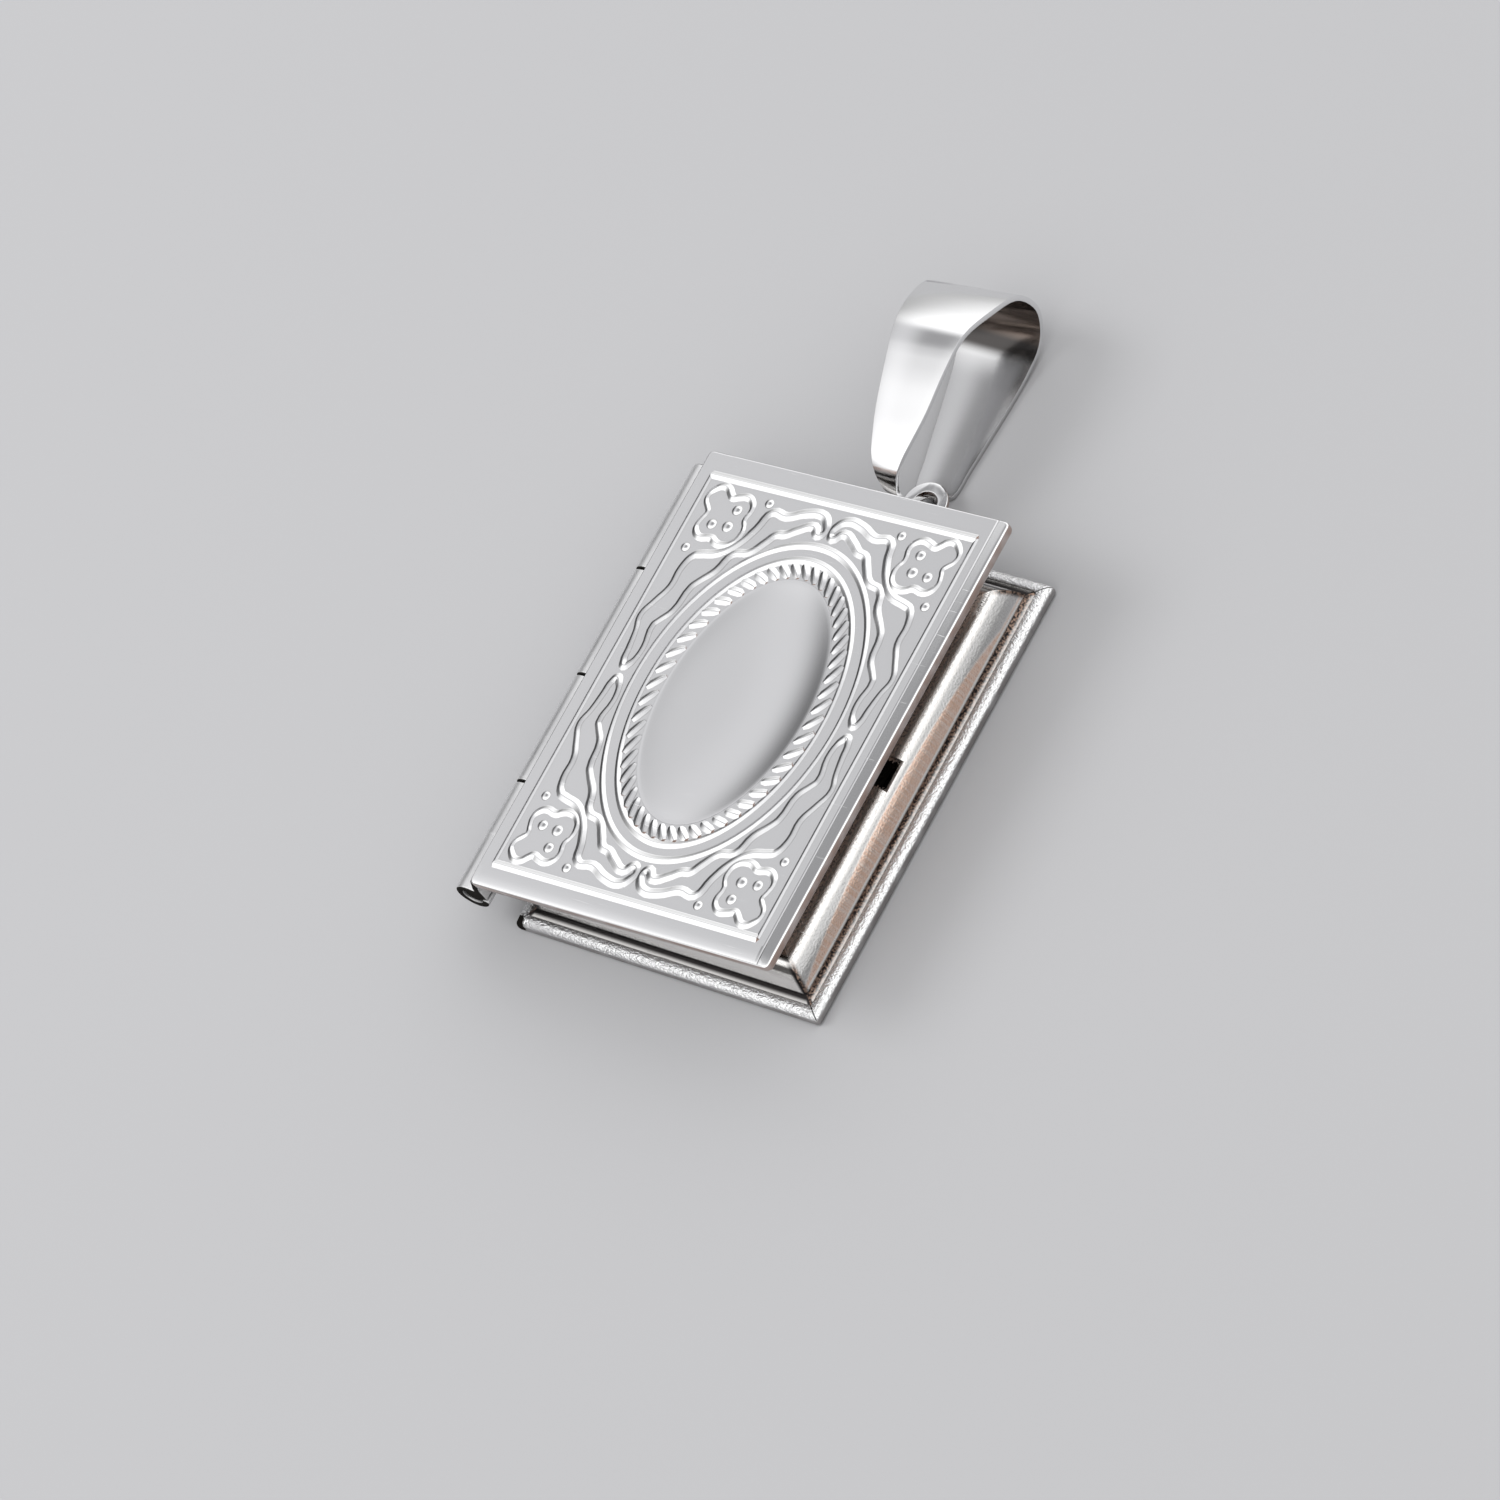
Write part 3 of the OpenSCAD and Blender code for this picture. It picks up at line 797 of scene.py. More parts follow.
def bend_border(tray, w, l):
    """Bends the outer face's border down along the fore edge, after a crease, and along the near edge."""
    for place in (-w / 2 + GUARD_CUTS[0], w / 2 - GUARD_CUTS[1]):
        pick(tray, "FACE", lambda c, n: n.z < -0.9)
        bpy.ops.mesh.bisect(plane_co=(place, 0, 0), plane_no=(1, 0, 0))
    for half, (way, rows, crease, drop, power) in ((w / 2, FORE_BEND), (l / 2, NEAR_BEND)):
        along = Vector((1, 0, 0)) if way == "x" else Vector((0, 1, 0))
        for back in rows:
            pick(tray, "FACE", lambda c, n: n.z < -0.9)
            bpy.ops.mesh.bisect(plane_co=along * (half - back), plane_no=along)
        only(tray)
        start = rows[2] if crease else rows[0]
        for v in tray.data.vertices:
            past = v.co.dot(along) - (half - start)
            near_face = max(0, 1 - v.co.z / BEND_DEPTH)
            if past > 0.01:
                v.co.z += near_face * drop * (past / start) ** power
            elif crease and abs(v.co.dot(along) - (half - rows[1])) < 0.01 and v.co.z < 0.02:
                v.co.z += crease
    pick(tray, "FACE", lambda c, n: n.z < -0.9999 and c.z < 0.001)
    bpy.ops.mesh.inset(thickness=0.03, depth=0)


def slit_corners(tray):
    """Cuts the slit where the rim's sides meet at each corner, and the torn end at the near hinge corner."""
    w, l = mm("covers", "cover_w"), mm("covers", "cover_l")
    for sx in (-1, 1):
        for sy in (-1, 1):
            blade = add_block("blade", *SLIT)
            blade.matrix_world = (Matrix.Translation((sx * (w / 2 - 0.5), sy * (l / 2 - 0.5), SLIT_Z))
                                  @ Matrix.Rotation(math.radians(45 * sx * sy), 4, "Z"))
            cut(tray, blade)
    blade = add_block("blade", *TEAR)
    blade.matrix_world = (Matrix.Translation((-w / 2 + 0.05, -l / 2 + 0.05, 0.92))
                          @ Matrix.Rotation(math.radians(TEAR_TURN), 4, "Z")
                          @ Matrix.Rotation(math.radians(TEAR_TILT), 4, "X"))
    cut(tray, blade)


def knuckle(name, k, side, edge_x):
    """One curled knuckle with its leaf; side is 1 for the front cover, -1 for the back cover."""
    axis_x, axis_z = (LID_HINGE["pos_m"][i] / MM for i in (0, 2))
    gap = mm("hinge", "knuckle_gap")
    count = bpy.context.scene.locket_hinge.knuckles
    l = mm("covers", "cover_l")
    long = (l - (count - 1) * gap) / count
    y0 = -l / 2 + k * (long + gap)
    half_t = mm("covers", "half_t")
    r = mm("hinge", "barrel_r") - 0.01
    meet = math.radians(CURL_MEET)
    leaf = [(edge_x + x, half_t + z) for x, z in LEAF_END] + [(edge_x * x, half_t * z) for x, z in LEAF_ROWS]
    leaf = smooth_rows(leaf + [(r * math.cos(meet), r * math.sin(meet))], 2)
    bpy.ops.mesh.primitive_plane_add(size=1, location=(0, y0 + long / 2, 0))
    strip = named(name)
    place = [(axis_x + x, axis_z + side * z) for x, z in leaf]
    for v in strip.data.vertices:
        x, z = place[0] if v.co.x > 0 else place[1]
        v.co = (x, (long / 2 if v.co.y > 0 else -long / 2), z)
    strip.location.x = strip.location.z = 0
    apply_place(strip)
    end_x, end_z = place[1]
    pick(strip, "EDGE", lambda m, d: abs(m.x - end_x) < NEAR and abs(m.z - end_z) < NEAR)
    for (ax, az), (bx, bz) in zip(place[1:], place[2:]):
        draw_out(bx - ax, 0, bz - az)
    bpy.ops.mesh.spin(steps=CURL_STEPS, angle=math.radians(CURL_ANGLE), center=(axis_x, 0, axis_z),
                      axis=(0, side, 0))
    turn_outward()
    give_thickness(strip, mm("covers", "sheet_t"))
    round_edges(strip, CURL_EDGE_R, 3)
    return strip


# Page frames, in millimetres

WINDOW_R = 1.2
NOTCH_DEEP = 0.24
NOTCH_IN = 0.65
NOTCH_R = 0.35
PAGE_EDGE_R = 0.035
# The slope as (inward, up), in shares of its width and height
PAGE_SIDE = ((0.00, 0.00), (0.26, 0.10), (0.29, 0.20), (0.45, 0.53),
             (0.64, 0.78), (0.75, 0.90), (0.88, 0.975), (1.00, 1.00))


def page_frame(name, over):
    """Pressed frame with stepped sides and a window for the picture."""
    inset = mm("covers", "rim_w") + mm("pages", "seat_gap")
    w = mm("covers", "cover_w") + 2 * over - 2 * inset
    l = mm("covers", "cover_l") + 2 * over - 2 * inset
    foot = mm("covers", "sheet_t") + mm("pages", "seat_gap")
    step = mm("covers", "rim_h") - mm("pages", "seat_gap")
    top = mm("pages", "page_top")
    slope_w, face_w = mm("pages", "slope_w"), mm("pages", "face_w")
    rows = [(slope_w * a, step + (top - step) * b) for a, b in PAGE_SIDE]
    rows = rows[:2] + smooth_rows(rows[2:], 3)
    sheet = add_plate(name, w, l, foot)
    pick(sheet, "FACE", lambda c, n: True)
    step_in([(0, foot)] + rows + [(slope_w + face_w, top)])
    corner_x, corner_y = w / 2 - slope_w - face_w, l / 2 - slope_w - face_w
    pick(sheet, "VERT", lambda p, n: abs(abs(p.x) - corner_x) < NEAR and abs(abs(p.y) - corner_y) < NEAR)
    bevel(WINDOW_R, 6, "VERTICES")
    pick(sheet, "FACE", lambda c, n: c.length < 3 and abs(c.x) < 1)
    bpy.ops.mesh.delete(type="FACE")
    leave_edit()
    give_thickness(sheet, mm("pages", "page_t"))
    return sheet


def thumb_notch(sheet):
    """Cuts the thumb notch in the fore edge's shoulder."""
    w = mm("covers", "cover_w")
    top = mm("pages", "page_top")
    wide = mm("pages", "notch_w")
    window = mm("covers", "rim_w") + mm("pages", "seat_gap") + mm("pages", "slope_w") + mm("pages", "face_w")
    tool = add_block("notch tool", (w / 2 - window + NOTCH_IN, -wide / 2, top - NOTCH_DEEP),
                     (w / 2 + 1, wide / 2, top + 1))
    pick(tool, "EDGE", lambda m, d: abs(d.z) > 0.5 and m.x < w / 2)
    bevel(NOTCH_R, 4)
    leave_edit()
    cut(sheet, tool)


# Ear and bail, in millimetres

EAR_X = 0.4
EAR_OUT = 2.32
EAR_Z = 0.8643
EAR_T = 0.3
EAR_FOOT_Z = 0.25
BAIL_X = 0.22
BAIL_LIFT = 0.02
TONGUE_W = 0.54
SHOULDER = 0.415
HOOK_R = 0.6943
HOOK_Y = 1.05
HOOK_ANGLES = (0, -30, -60, -90)
EAR_EDGE_R = 0.1
RIBBON_EDGE_R = 0.07


def ear_piece(name):
    """Round tab with a hole, rising from the back cover's rim."""
    l = mm("covers", "cover_l")
    r, hole = mm("bail", "ear_r"), mm("bail", "ear_hole_r")
    x, y, z, t = EAR_X, l / 2 + EAR_OUT, EAR_Z, EAR_T
    root = l / 2 - 0.5
    tab = add_block(name, (x - r, root, z - t / 2), (x + r, y + r, z + t / 2))
    pick(tab, "EDGE", lambda m, d: abs(d.z) > t / 2 and m.y > y)
    bevel(r - 0.001, 14)
    leave_edit()
    bpy.ops.mesh.primitive_cylinder_add(vertices=40, radius=hole, depth=1, location=(x, y, z))
    cut(tab, bpy.context.object)
    foot = add_block("ear foot", (x - r, root, EAR_FOOT_Z), (x + r, root + 0.55, z))
    cut(tab, foot, "UNION")
    round_edges(tab, EAR_EDGE_R, 3, 50)
    return tab


# Stations of the ribbon as shares of the bail's length, height and ribbon width
BAIL_ROWS = (
    (0.245, 0.000, 0.510), (0.425, 0.000, 0.620), (0.600, 0.000, 0.720), (0.770, 0.020, 0.810),
    (0.905, 0.085, 0.890), (0.985, 0.250, 0.950), (1.000, 0.450, 0.990), (0.938, 0.705, 0.990),
    (0.790, 0.870, 0.920), (0.612, 0.975, 0.760), (0.429, 0.940, 0.650), (0.233, 0.868, 0.550),
    (0.104, 0.820, 0.440), (0.010, 0.775, 0.340), (-0.050, 0.700, 0.240), (-0.078, 0.590, 0.160))
LOOP_MIDDLE = (0, 22.5, 3.4)
TONGUE_ROWS = ((-0.087, 0.380), (-0.074, 0.230), (-0.030, 0.110))


def bail_path():
    """Stations of the ribbon as (along, up, across) in millimetres, from the ear's hole."""
    long, high, wide, t = (mm("bail", n) for n in ("bail_l", "bail_h", "bail_w", "bail_t"))
    leg = BAIL_LIFT + t / 2
    rows = [(HOOK_Y - HOOK_R * math.cos(math.radians(a)), EAR_Z + HOOK_R * math.sin(math.radians(a)),
             SHOULDER * wide if a == HOOK_ANGLES[-1] else TONGUE_W) for a in HOOK_ANGLES]
    rows += [(long * a, leg + high * b, max(TONGUE_W, wide * c)) for a, b, c in BAIL_ROWS]
    rows += [(long * a, EAR_Z + high * b, TONGUE_W) for a, b in TONGUE_ROWS]
    return smooth_rows(rows, 4, closed=True)


def ribbon(name):
    """Ribbon drawn out station by station, closed on itself and given its thickness."""
    path = bail_path()
    bpy.ops.mesh.primitive_plane_add(size=1, location=(0, 0, 0))
    band = named(name)
    (y0, z0, w0), (y1, z1, w1) = path[0], path[1]
    for v in band.data.vertices:
        y, z, w = (y0, z0, w0) if v.co.y < 0 else (y1, z1, w1)
        v.co = ((w if v.co.x > 0 else -w) / 2, y, z)
    pick(band, "EDGE", lambda m, d: abs(m.y - y1) < 1e-4 and abs(m.z - z1) < 1e-4)
    for (ya, za, wa), (yb, zb, wb) in zip(path[1:], path[2:] + path[:1]):
        draw_out(0, yb - ya, zb - za)
        bpy.ops.transform.resize(value=(wb / wa, 1, 1), center_override=(0, yb, zb))
    turn_outward(0.001)
    give_thickness(band, mm("bail", "bail_t"), 0)
    round_edges(band, RIBBON_EDGE_R, 2, 50)
    band.matrix_world = (Matrix.Translation((BAIL_X, mm("covers", "cover_l") / 2 + EAR_OUT, 0))
                         @ Matrix.Rotation(bpy.context.scene.locket_bail.bail_turn, 4, "Z"))
    return apply_place(band)


# Ornament: shares of the frame's half width and half length, drawn in one quarter
# The oval's dish and what carries it are in millimetres

ORNAMENT_X = -0.2
SCROLL = (
    (0.022, 0.860), (0.033, 0.895), (0.089, 0.934), (0.210, 0.926), (0.332, 0.889), (0.444, 0.893),
    (0.493, 0.803), (0.554, 0.717), (0.653, 0.648), (0.775, 0.623), (0.812, 0.612), (0.855, 0.541),
    (0.858, 0.443), (0.908, 0.361), (0.952, 0.279), (0.925, 0.205), (0.905, 0.115), (0.893, 0.052),
    (0.868, 0.030), (0.843, 0.045), (0.822, 0.074), (0.810, 0.139), (0.829, 0.250), (0.808, 0.275),
    (0.748, 0.336), (0.716, 0.463), (0.687, 0.496), (0.609, 0.566), (0.554, 0.660), (0.454, 0.684),
    (0.377, 0.754), (0.334, 0.796), (0.275, 0.807), (0.210, 0.840), (0.111, 0.873), (0.055, 0.838))
FLOWER = (
    (0.084, 0.084), (0.131, 0.055), (0.175, 0.064), (0.208, 0.094), (0.236, 0.113), (0.280, 0.100),
    (0.336, 0.089), (0.380, 0.109), (0.406, 0.155), (0.395, 0.238), (0.415, 0.277), (0.424, 0.321),
    (0.396, 0.396))
DOTS = (
    (0.308, 0.183, 0.031), (0.186, 0.306, 0.031), (0.302, 0.299, 0.033), (0.502, 0.094, 0.028),
    (0.096, 0.487, 0.028))
RINGS = ((0.762, 0.787), (0.661, 0.713))
OVAL = (0.532, 0.615)
ROPE = (0.592, 0.660)
SINK = 0.06
NIB = (0.70, 0.55)
ROPE_LEAN = 0.46
ROPE_RADII = (0.8, 1.1, 1.05, 0.55)
RIDGE = ((-0.5, 0.02), (-0.41, 0.11), (-0.08, 0.90), (0, 0.97), (0.08, 0.90), (0.41, 0.11), (0.5, 0.02))
OVAL_STEPS = ((1.0, 0.028), (0.99, 0.034), (0.96, 0.035), (0.92, 0.032), (0.86, 0.027),
              (0.78, 0.022), (0.68, 0.018), (0.55, 0.015), (0.4, 0.013), (0.2, 0.012))
OVAL_FOOT = -0.05
WIDE_LINE = 1.2
FINE_LINE = 0.95
DOT_SWELL = 1.2
DOT_SINK = 0.02
DISH_OFF = 2.4
DISH_Y = -0.4
DISH_POWER = 4.0
DISH_RISE = 0.5


def empty_curve(name):
    """A flat curve without points, open for drawing."""
    bpy.ops.curve.primitive_bezier_curve_add(location=(0, 0, 0))
    curve = named(name)
    curve.data.dimensions = "2D"
    bpy.ops.object.mode_set(mode="EDIT")
    bpy.ops.curve.select_all(action="SELECT")
    bpy.ops.curve.delete(type="VERT")
    return curve


def ridge_profile(width):
    """Closed bell-shaped section of a raised line, its foot sunk in the sheet."""
    high = mm("ornament", "relief_h")
    curve = empty_curve("ridge section")
    for x, y in ((-0.5, -SINK / high), *RIDGE, (0.5, -SINK / high)):
        bpy.ops.curve.vertex_add(location=(x * width, y * high, 0))
    bpy.ops.curve.select_all(action="SELECT")
    bpy.ops.curve.handle_type_set(type="VECTOR")
    bpy.ops.curve.cyclic_toggle()
    leave_edit()
    curve.data.fill_mode = "NONE"
    curve.data.resolution_u = 1
    return curve


def draw_lines(name, lines, z, closed=False, radii=lambda s: 1, nib=True):
    """Draws smooth lines through their points on one curve, broader where they run across."""
    curve = empty_curve(name)
    for points in lines:
        bpy.ops.curve.select_all(action="DESELECT")
        for x, y in points:
            bpy.ops.curve.vertex_add(location=(x, y, 0))
    bpy.ops.curve.select_all(action="SELECT")
    bpy.ops.curve.handle_type_set(type="AUTOMATIC")
    leave_edit()
    for spline in curve.data.splines:
        points = spline.bezier_points
        last = len(points) - 1
        for i, point in enumerate(points):
            after = points[(i + 2) % (last + 1) if closed else min(i + 2, last)].co
            before = points[(i - 2) % (last + 1) if closed else max(i - 2, 0)].co
            way = (after - before).normalized()
            point.radius = radii(i / last) * (NIB[0] + NIB[1] * abs(way.x) if nib else 1)
        spline.use_cyclic_u = closed
    curve.location = (ORNAMENT_X, 0, z)
    curve.data.resolution_u = 4
    return curve


def raise_lines(curve, section):
    """Gives drawn lines their ridge and makes them a mesh."""
    curve.data.fill_mode = "NONE"
    curve.data.bevel_mode = "OBJECT"
    curve.data.bevel_object = section
    curve.data.use_fill_caps = True
    only(curve)
    bpy.ops.object.convert(target="MESH")
    obj = apply_place(bpy.context.object)
    bpy.ops.object.mode_set(mode="EDIT")
    turn_outward(WELD)
    return obj


def quarters(points_list):
    """A quarter's lines repeated to left and right, above and below."""
    return [[(sx * x, sy * y) for x, y in points]
            for sx in (1, -1) for sy in (1, -1) for points in points_list]


def ornament_lines(z):
    """Scrolls, corner flowers, frame, rings and rope as raised lines."""
    a, b, line_w = mm("ornament", "frame_a"), mm("ornament", "frame_b"), mm("ornament", "line_w")
    wide = ridge_profile(line_w * WIDE_LINE)
    fine = ridge_profile(line_w * FINE_LINE)
    scrolls = quarters([[(a * x, b * y) for x, y in SCROLL]])
    pieces = [raise_lines(draw_lines("scrolls", scrolls, z, True), wide)]
    outline = list(FLOWER) + [(y, x) for x, y in FLOWER[-2:0:-1]]
    flowers = quarters([[(a - a * x, b - a * y) for x, y in outline]])
    pieces.append(raise_lines(draw_lines("flowers", flowers, z, True), fine))
    border = [[(s * a, -b), (s * a, b)] for s in (-1, 1)] + [[(-a, s * b), (a, s * b)] for s in (-1, 1)]
    pieces.append(raise_lines(draw_lines("border", border, z), fine))
    strokes = []
    count = bpy.context.scene.locket_ornament.rope_strokes
    lean = ROPE_LEAN * 2 * math.pi / count
    inner = a * (ROPE[0] - OVAL[0]) - line_w / 4
    outer = a * (RINGS[1][0] - ROPE[0]) - line_w / 2
    stations = ((outer, lean), (outer / 2, lean / 2), (-inner / 2, -lean / 2), (-inner, -lean))
    for k in range(count):
        t = 2 * math.pi * k / count
        strokes.append([((a * ROPE[0] + off) * math.cos(t + turn), (b * ROPE[1] + off) * math.sin(t + turn))
                        for off, turn in stations])
    rope = draw_lines("rope", strokes, z, radii=lambda s: ROPE_RADII[round(3 * s)], nib=False)
    rope.data.resolution_u = 2
    pieces.append(raise_lines(rope, wide))
    for ra, rb in RINGS:
        bpy.ops.curve.primitive_bezier_circle_add(radius=1, location=(0, 0, 0))
        ring = bpy.context.object
        ring.scale = (a * ra, b * rb, 1)
        apply_place(ring)
        ring.data.dimensions = "2D"
        ring.data.resolution_u = 24
        for point in ring.data.splines[0].bezier_points:
            point.radius = NIB[0] + (NIB[1] if abs(point.co.x) < 1 else 0)
        ring.location = (ORNAMENT_X, 0, z)
        pieces.append(raise_lines(ring, fine))
    for section in (wide, fine):
        bpy.data.objects.remove(section, do_unlink=True)
    return join("lid_ornament", pieces)


def ornament_dots(z):
    """Small domed dots in the corner flowers."""
    a, b = mm("ornament", "frame_a"), mm("ornament", "frame_b")
    high = mm("ornament", "relief_h")
    centres = quarters([[(a * (1 - x), b - a * y)] for x, y, r in DOTS])
    sizes = [DOT_SWELL * a * r for x, y, r in DOTS] * 4
    dots = []
    for ((x, y),), r in zip(centres, sizes):
        bpy.ops.mesh.primitive_uv_sphere_add(segments=14, ring_count=8, radius=r,
                                             location=(x + ORNAMENT_X, y, z - DOT_SINK))
        dot = bpy.context.object
        dot.scale.z = (high + DOT_SINK) / r
        dots.append(apply_place(dot))
    return join("lid_dots", dots)


def centre_oval(z):
    """Plain oval in the middle of the lid, dished a little towards its edge."""
    a, b = mm("ornament", "frame_a") * OVAL[0], mm("ornament", "frame_b") * OVAL[1]
    bpy.ops.mesh.primitive_circle_add(vertices=96, radius=1, fill_type="NGON",
                                      location=(ORNAMENT_X, 0, z + OVAL_FOOT))
    oval = named("lid_oval")
    oval.scale = (a, b, 1)
    apply_place(oval)
    pick(oval, "FACE", lambda c, n: True)
    now, height = 1.0, OVAL_FOOT
    for far, level in OVAL_STEPS:
        draw_out(0, 0, level - height)
        bpy.ops.transform.resize(value=(far / now, far / now, 1), center_override=(ORNAMENT_X, 0, z))
        now, height = far, level
    pick(oval, "EDGE", lambda m, d: m.z < z + OVAL_FOOT + NEAR)
    bpy.ops.mesh.edge_face_add()
    turn_outward()
    return oval


# Stage: each fade of the sky reads (start, end, value before, value after)

FLOOR_SIZE = 3
FLOOR_SHINE = 0.1
FLOOR_ROUGH = 0.6
FLOOR_SPREAD = 0.2
SKY_LOW = (0.45, 0.75, 0.28, 0.62)
SKY_RISE = (0.05, 0.55, 0.0, 1.0)
SKY_TOP = 1.45
SKY_SIDE = (-0.95, -0.76, 0.30, 1.0)
CARD_START = (-0.22, 0.20, 0.0, 1.0)
CARD_END = (0.39, 0.57, 1.0, 0.0)
CARD_EDGE = (-0.10, 0.20, 1.0, 0.0)
CARD_X = 0.42
CARD_DIM = (0.10, 0.30, 0.74, 0.46)
CARD_TINT = (0.99, 0.99, 1.01, 1)
CAMERA_TURN = 62.738
CAMERA_TILT = 50.406
CAMERA_ROLL = -39.380
CAMERA_AIM = (0, 0, 3.0)
CAMERA_ASIDE = 0.76
CAMERA_BELOW = 0.88
CAMERA_AWAY = 454.29
LAMP_SPOT = (-0.30, -0.10, 0.40)
LAMP_SIZE = 0.22
LAMP_POWER = 0.7


# Operators, one for each piece or group of like pieces, and the stage

class LOCKET_OT_back_cover(bpy.types.Operator):
    """Builds the back cover's tray with its rolled rim"""
    bl_idname = "locket.back_cover"
    bl_label = "Back cover"

    def execute(self, context):
        tray = cover_tray("back_tray", 0, BACK_CORNER_R, BACK_EDGE_R, False)
        slit_corners(tray)
        round_edges(tray, SLIT_EDGE_R, 2, 50)
        seat(tray, BACK, finish("Rolled rim steel"), ["back_cover"])
        return {"FINISHED"}


class LOCKET_OT_front_cover(bpy.types.Operator):
    """Builds the lid's tray with rounded corners and creased border"""
    bl_idname = "locket.front_cover"
    bl_label = "Front cover"

    def execute(self, context):
        lid = cover_tray("lid_tray", mm("covers", "front_over"), LID_CORNER_R, LID_EDGE_R, True)
        turned_over(lid)
        seat(lid, FRONT, finish("Polished cover steel"), ["front_cover"], smooth=24)
        return {"FINISHED"}


class LOCKET_OT_ornament(bpy.types.Operator):
    """Builds the raised ornament, the dots and the plain oval of the lid"""
    bl_idname = "locket.ornament"
    bl_label = "Ornament"

    def execute(self, context):
        z = 2 * mm("covers", "half_t")
        steel = finish("Polished cover steel")
        seat(ornament_lines(z), FRONT, steel, ["front_cover"], smooth=60)
        seat(ornament_dots(z), FRONT, steel, ["front_cover"], smooth=60)
        seat(centre_oval(z), FRONT, finish("Dished oval steel"), ["front_cover"])
        return {"FINISHED"}


class LOCKET_OT_hinge(bpy.types.Operator):
    """Builds the curled knuckles of both covers and the pin through them"""
    bl_idname = "locket.hinge"
    bl_label = "Hinge"

    def execute(self, context):
        steel = finish("Brushed hinge steel")
        over = mm("covers", "front_over")
        for k in range(context.scene.locket_hinge.knuckles):
            front = k % 2 == 0
            curl = knuckle(f"knuckle_{k + 1}", k, 1 if front else -1, HINGE_OUT - (over if front else 0))
            seat(curl, FRONT if front else BACK, steel,
                 ["front_cover" if front else "back_cover"])
        self.pin(context)
        return {"FINISHED"}

    def pin(self, context):
        x, z = (LID_HINGE["pos_m"][i] / MM for i in (0, 2))
        y = mm("covers", "cover_l") / 2 - 0.1
        bpy.ops.mesh.primitive_cylinder_add(vertices=32, radius=mm("hinge", "pin_r"), depth=2 * y,
                                            location=(x, 0, z), rotation=(math.pi / 2, 0, 0))
        pin = apply_place(named("pin"))
        pick(pin, "FACE", lambda c, n: abs(n.y) > 0.9)
        bevel(PIN_END_R, 4)
        leave_edit()
        seat(pin, BACK, finish("Turned pin steel"), ["hinge_pin"])


class LOCKET_OT_pages(bpy.types.Operator):
    """Builds both pressed page frames with their windows and the thumb notch"""
    bl_idname = "locket.pages"
    bl_label = "Page frames"

    def execute(self, context):
        steel = finish("Drawn page steel")
        back = page_frame("back_page_frame", 0)
        thumb_notch(back)
        round_edges(back, PAGE_EDGE_R, 2, 45)
        seat(back, BACK, steel, ["back_pages"], smooth=30)
        front = page_frame("front_page_frame", mm("covers", "front_over"))
        round_edges(front, PAGE_EDGE_R, 2, 45)
        turned_over(front)
        seat(front, FRONT, steel, ["front_pages"], smooth=30)
        return {"FINISHED"}


class LOCKET_OT_bail(bpy.types.Operator):
    """Builds the ear on the back cover and the ribbon bail through it"""
    bl_idname = "locket.bail"
    bl_label = "Ear and bail"

    def execute(self, context):
        seat(ear_piece("ear"), BACK, finish("Polished cover steel"), ["back_cover"])
        seat(ribbon("bail_ribbon"), BAIL, finish("Bright ribbon steel"), ["bail"])
        return {"FINISHED"}


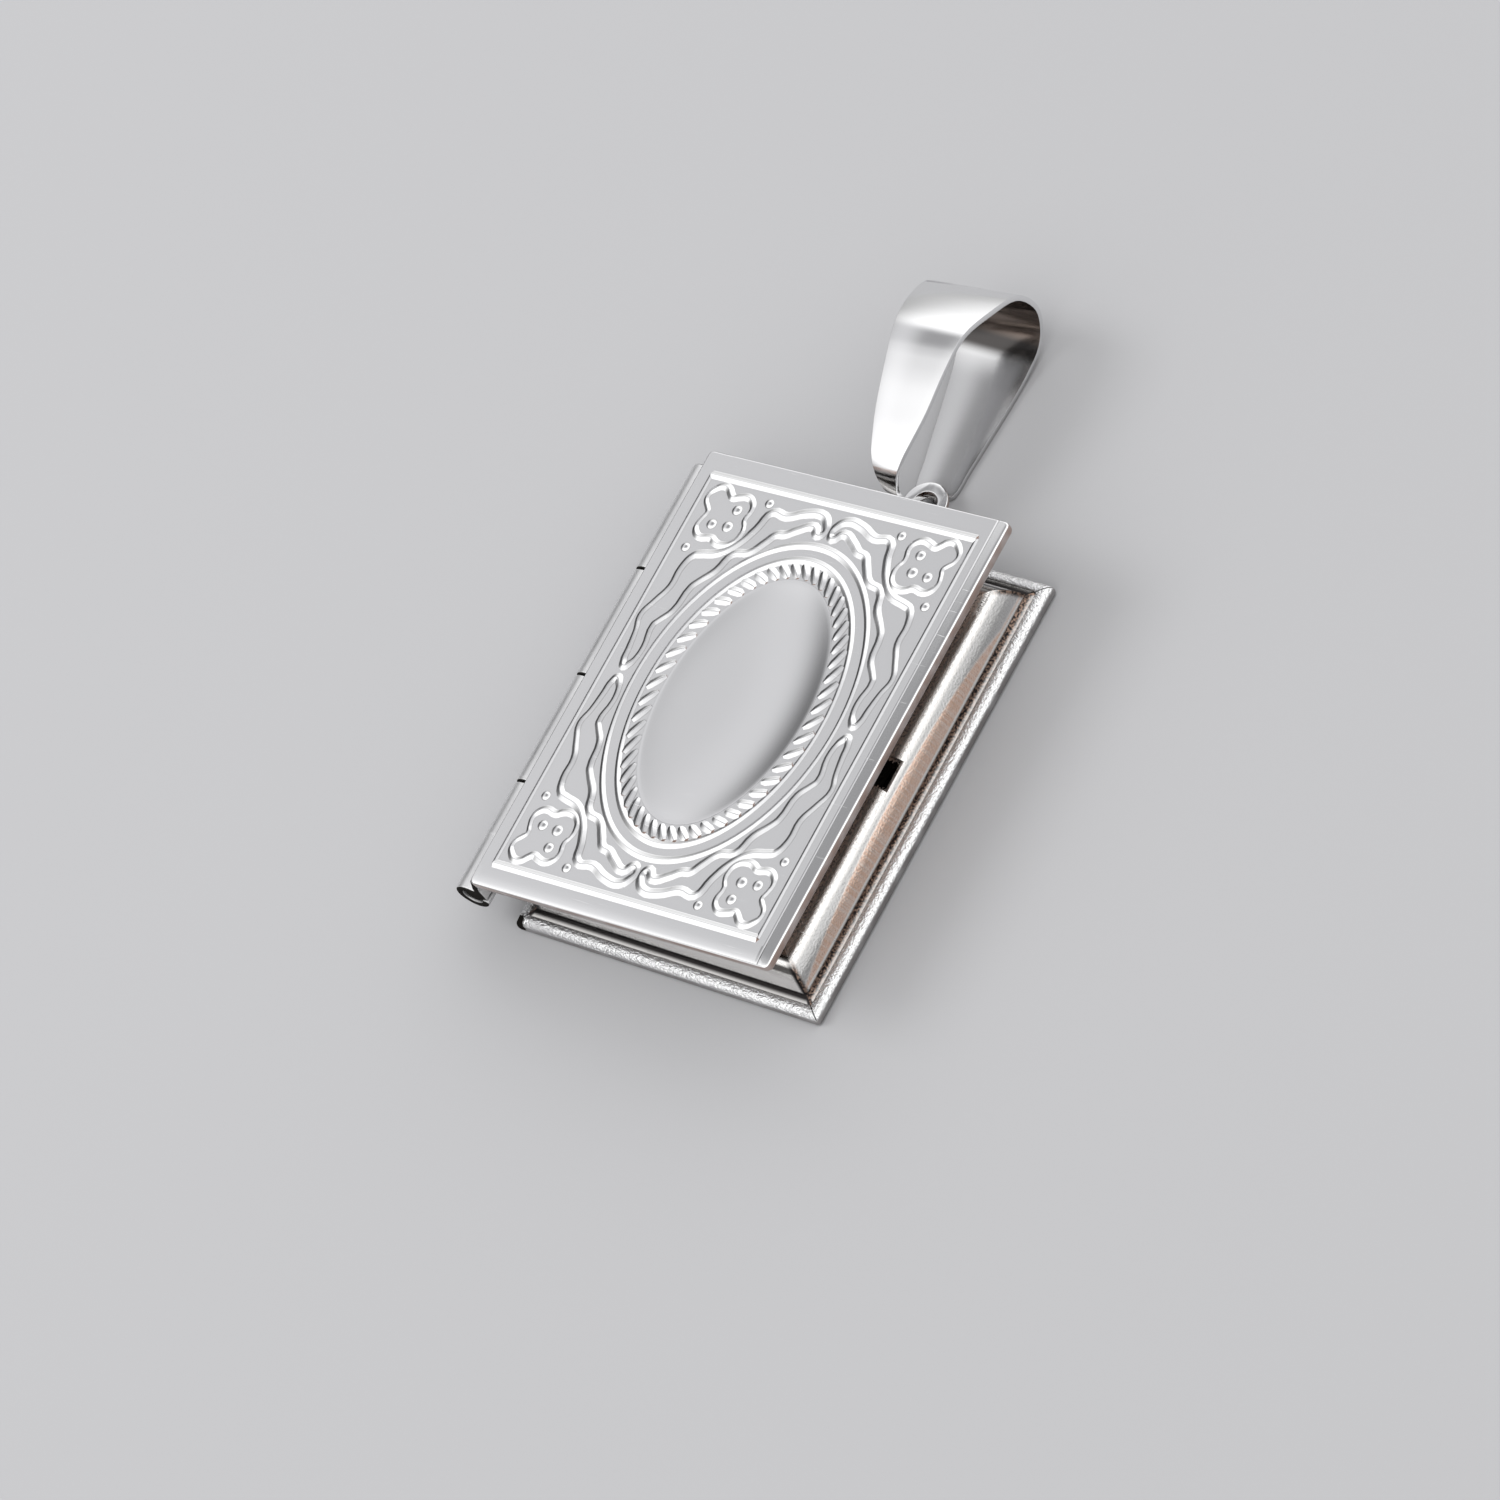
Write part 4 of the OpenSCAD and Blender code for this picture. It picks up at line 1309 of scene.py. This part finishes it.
class LOCKET_OT_stage(bpy.types.Operator):
    """Sets the floor, the sky, the soft lamp and the camera"""
    bl_idname = "locket.stage"
    bl_label = "Stage"

    def execute(self, context):
        self.floor(context)
        self.sky(context)
        self.light(context)
        self.camera(context)
        return {"FINISHED"}

    def floor(self, context):
        bpy.ops.mesh.primitive_plane_add(size=FLOOR_SIZE, location=(0, 0, 0))
        floor = named("floor")
        material, tree, shader = new_material("Pale floor")
        shader.inputs["Base Color"].default_value = (*context.scene.locket_stage.floor, 1)
        shader.inputs["Specular IOR Level"].default_value = FLOOR_SHINE
        grain = times(tree, noise(tree, here(tree), 900.0, 2.0), FLOOR_SPREAD)
        feed(tree, shader.inputs["Roughness"], plus(tree, FLOOR_ROUGH, grain))
        floor.data.materials.append(material)

    def sky(self, context):
        """Soft white surround, dark near the floor, with a grey card that the lid mirrors."""
        world = bpy.data.worlds.new("Studio")
        context.scene.world = world
        world.use_nodes = True
        tree = world.node_tree
        x, y, z = parted(tree, here(tree, "Generated"))
        low = fade(tree, y, *SKY_LOW)
        rise = fade(tree, z, *SKY_RISE)
        dome = plus(tree, low, times(tree, rise, minus(tree, SKY_TOP, low)))
        across = times(tree, fade(tree, y, *CARD_START), fade(tree, y, *CARD_END))
        card = times(tree, across, fade(tree, x, *CARD_EDGE))
        dim = fade(tree, size_of(tree, plus(tree, x, CARD_X)), *CARD_DIM)
        level = times(tree, dome, minus(tree, 1.0, times(tree, card, dim)))
        level = times(tree, level, fade(tree, x, *SKY_SIDE))
        light = tree.nodes["Background"]
        feed(tree, light.inputs["Color"], blend_node(tree, card, (1, 1, 1, 1), CARD_TINT))
        feed(tree, light.inputs["Strength"], level)

    def light(self, context):
        bpy.ops.object.light_add(type="AREA", location=LAMP_SPOT)
        lamp = named("key")
        lamp.data.size = LAMP_SIZE
        lamp.data.energy = LAMP_POWER
        lamp.visible_glossy = False
        lamp.rotation_euler = Vector(LAMP_SPOT).to_track_quat("Z", "Y").to_euler()

    def camera(self, context):
        """One camera at the photo's angle, aimed a little beside the locket's middle."""
        turn, tilt, roll = (math.radians(d) for d in (CAMERA_TURN, CAMERA_TILT, CAMERA_ROLL))
        away = Vector((math.sin(turn) * math.cos(tilt), -math.cos(turn) * math.cos(tilt), math.sin(tilt)))
        level = Vector((math.cos(turn), math.sin(turn), 0))
        upright = away.cross(level)
        right = math.cos(roll) * level + math.sin(roll) * upright
        up = math.cos(roll) * upright - math.sin(roll) * level
        place = (Vector(CAMERA_AIM) - right * CAMERA_ASIDE - up * CAMERA_BELOW + away * CAMERA_AWAY) * MM
        lens = bpy.data.cameras.new("camera")
        lens.lens = context.scene.locket_stage.lens
        lens.sensor_width = 36
        lens.clip_start = 0.01
        lens.clip_end = 10
        camera = bpy.data.objects.new("camera", lens)
        context.scene.collection.objects.link(camera)
        camera.matrix_world = Matrix((
            (right.x, up.x, away.x, place.x), (right.y, up.y, away.y, place.y),
            (right.z, up.z, away.z, place.z), (0, 0, 0, 1)))
        context.scene.camera = camera
        context.scene.view_settings.view_transform = "Standard"


class LOCKET_PT_panel(bpy.types.Panel):
    """Lists the locket's settings and the steps that build it"""
    bl_idname = "LOCKET_PT_panel"
    bl_label = "Book locket"
    bl_space_type = "VIEW_3D"
    bl_region_type = "UI"
    bl_category = "Locket"

    def draw(self, context):
        for step in STEPS:
            self.layout.operator(step.bl_idname)
        for name, group in GROUPS.items():
            box = self.layout.box()
            for setting in group.__annotations__:
                box.prop(getattr(context.scene, name), setting)


STEPS = (LOCKET_OT_back_cover, LOCKET_OT_front_cover, LOCKET_OT_ornament, LOCKET_OT_hinge,
         LOCKET_OT_pages, LOCKET_OT_bail, LOCKET_OT_stage)
CLASSES = tuple(GROUPS.values()) + STEPS + (LOCKET_PT_panel,)


def register():
    for item in CLASSES:
        bpy.utils.register_class(item)
    for name, group in GROUPS.items():
        setattr(bpy.types.Scene, name, bpy.props.PointerProperty(type=group))


def unregister():
    for name in GROUPS:
        delattr(bpy.types.Scene, name)
    for item in reversed(CLASSES):
        bpy.utils.unregister_class(item)


def main():
    register()
    for step in STEPS:
        family, action = step.bl_idname.split(".")
        getattr(getattr(bpy.ops, family), action)()


if __name__ == "__main__":
    main()
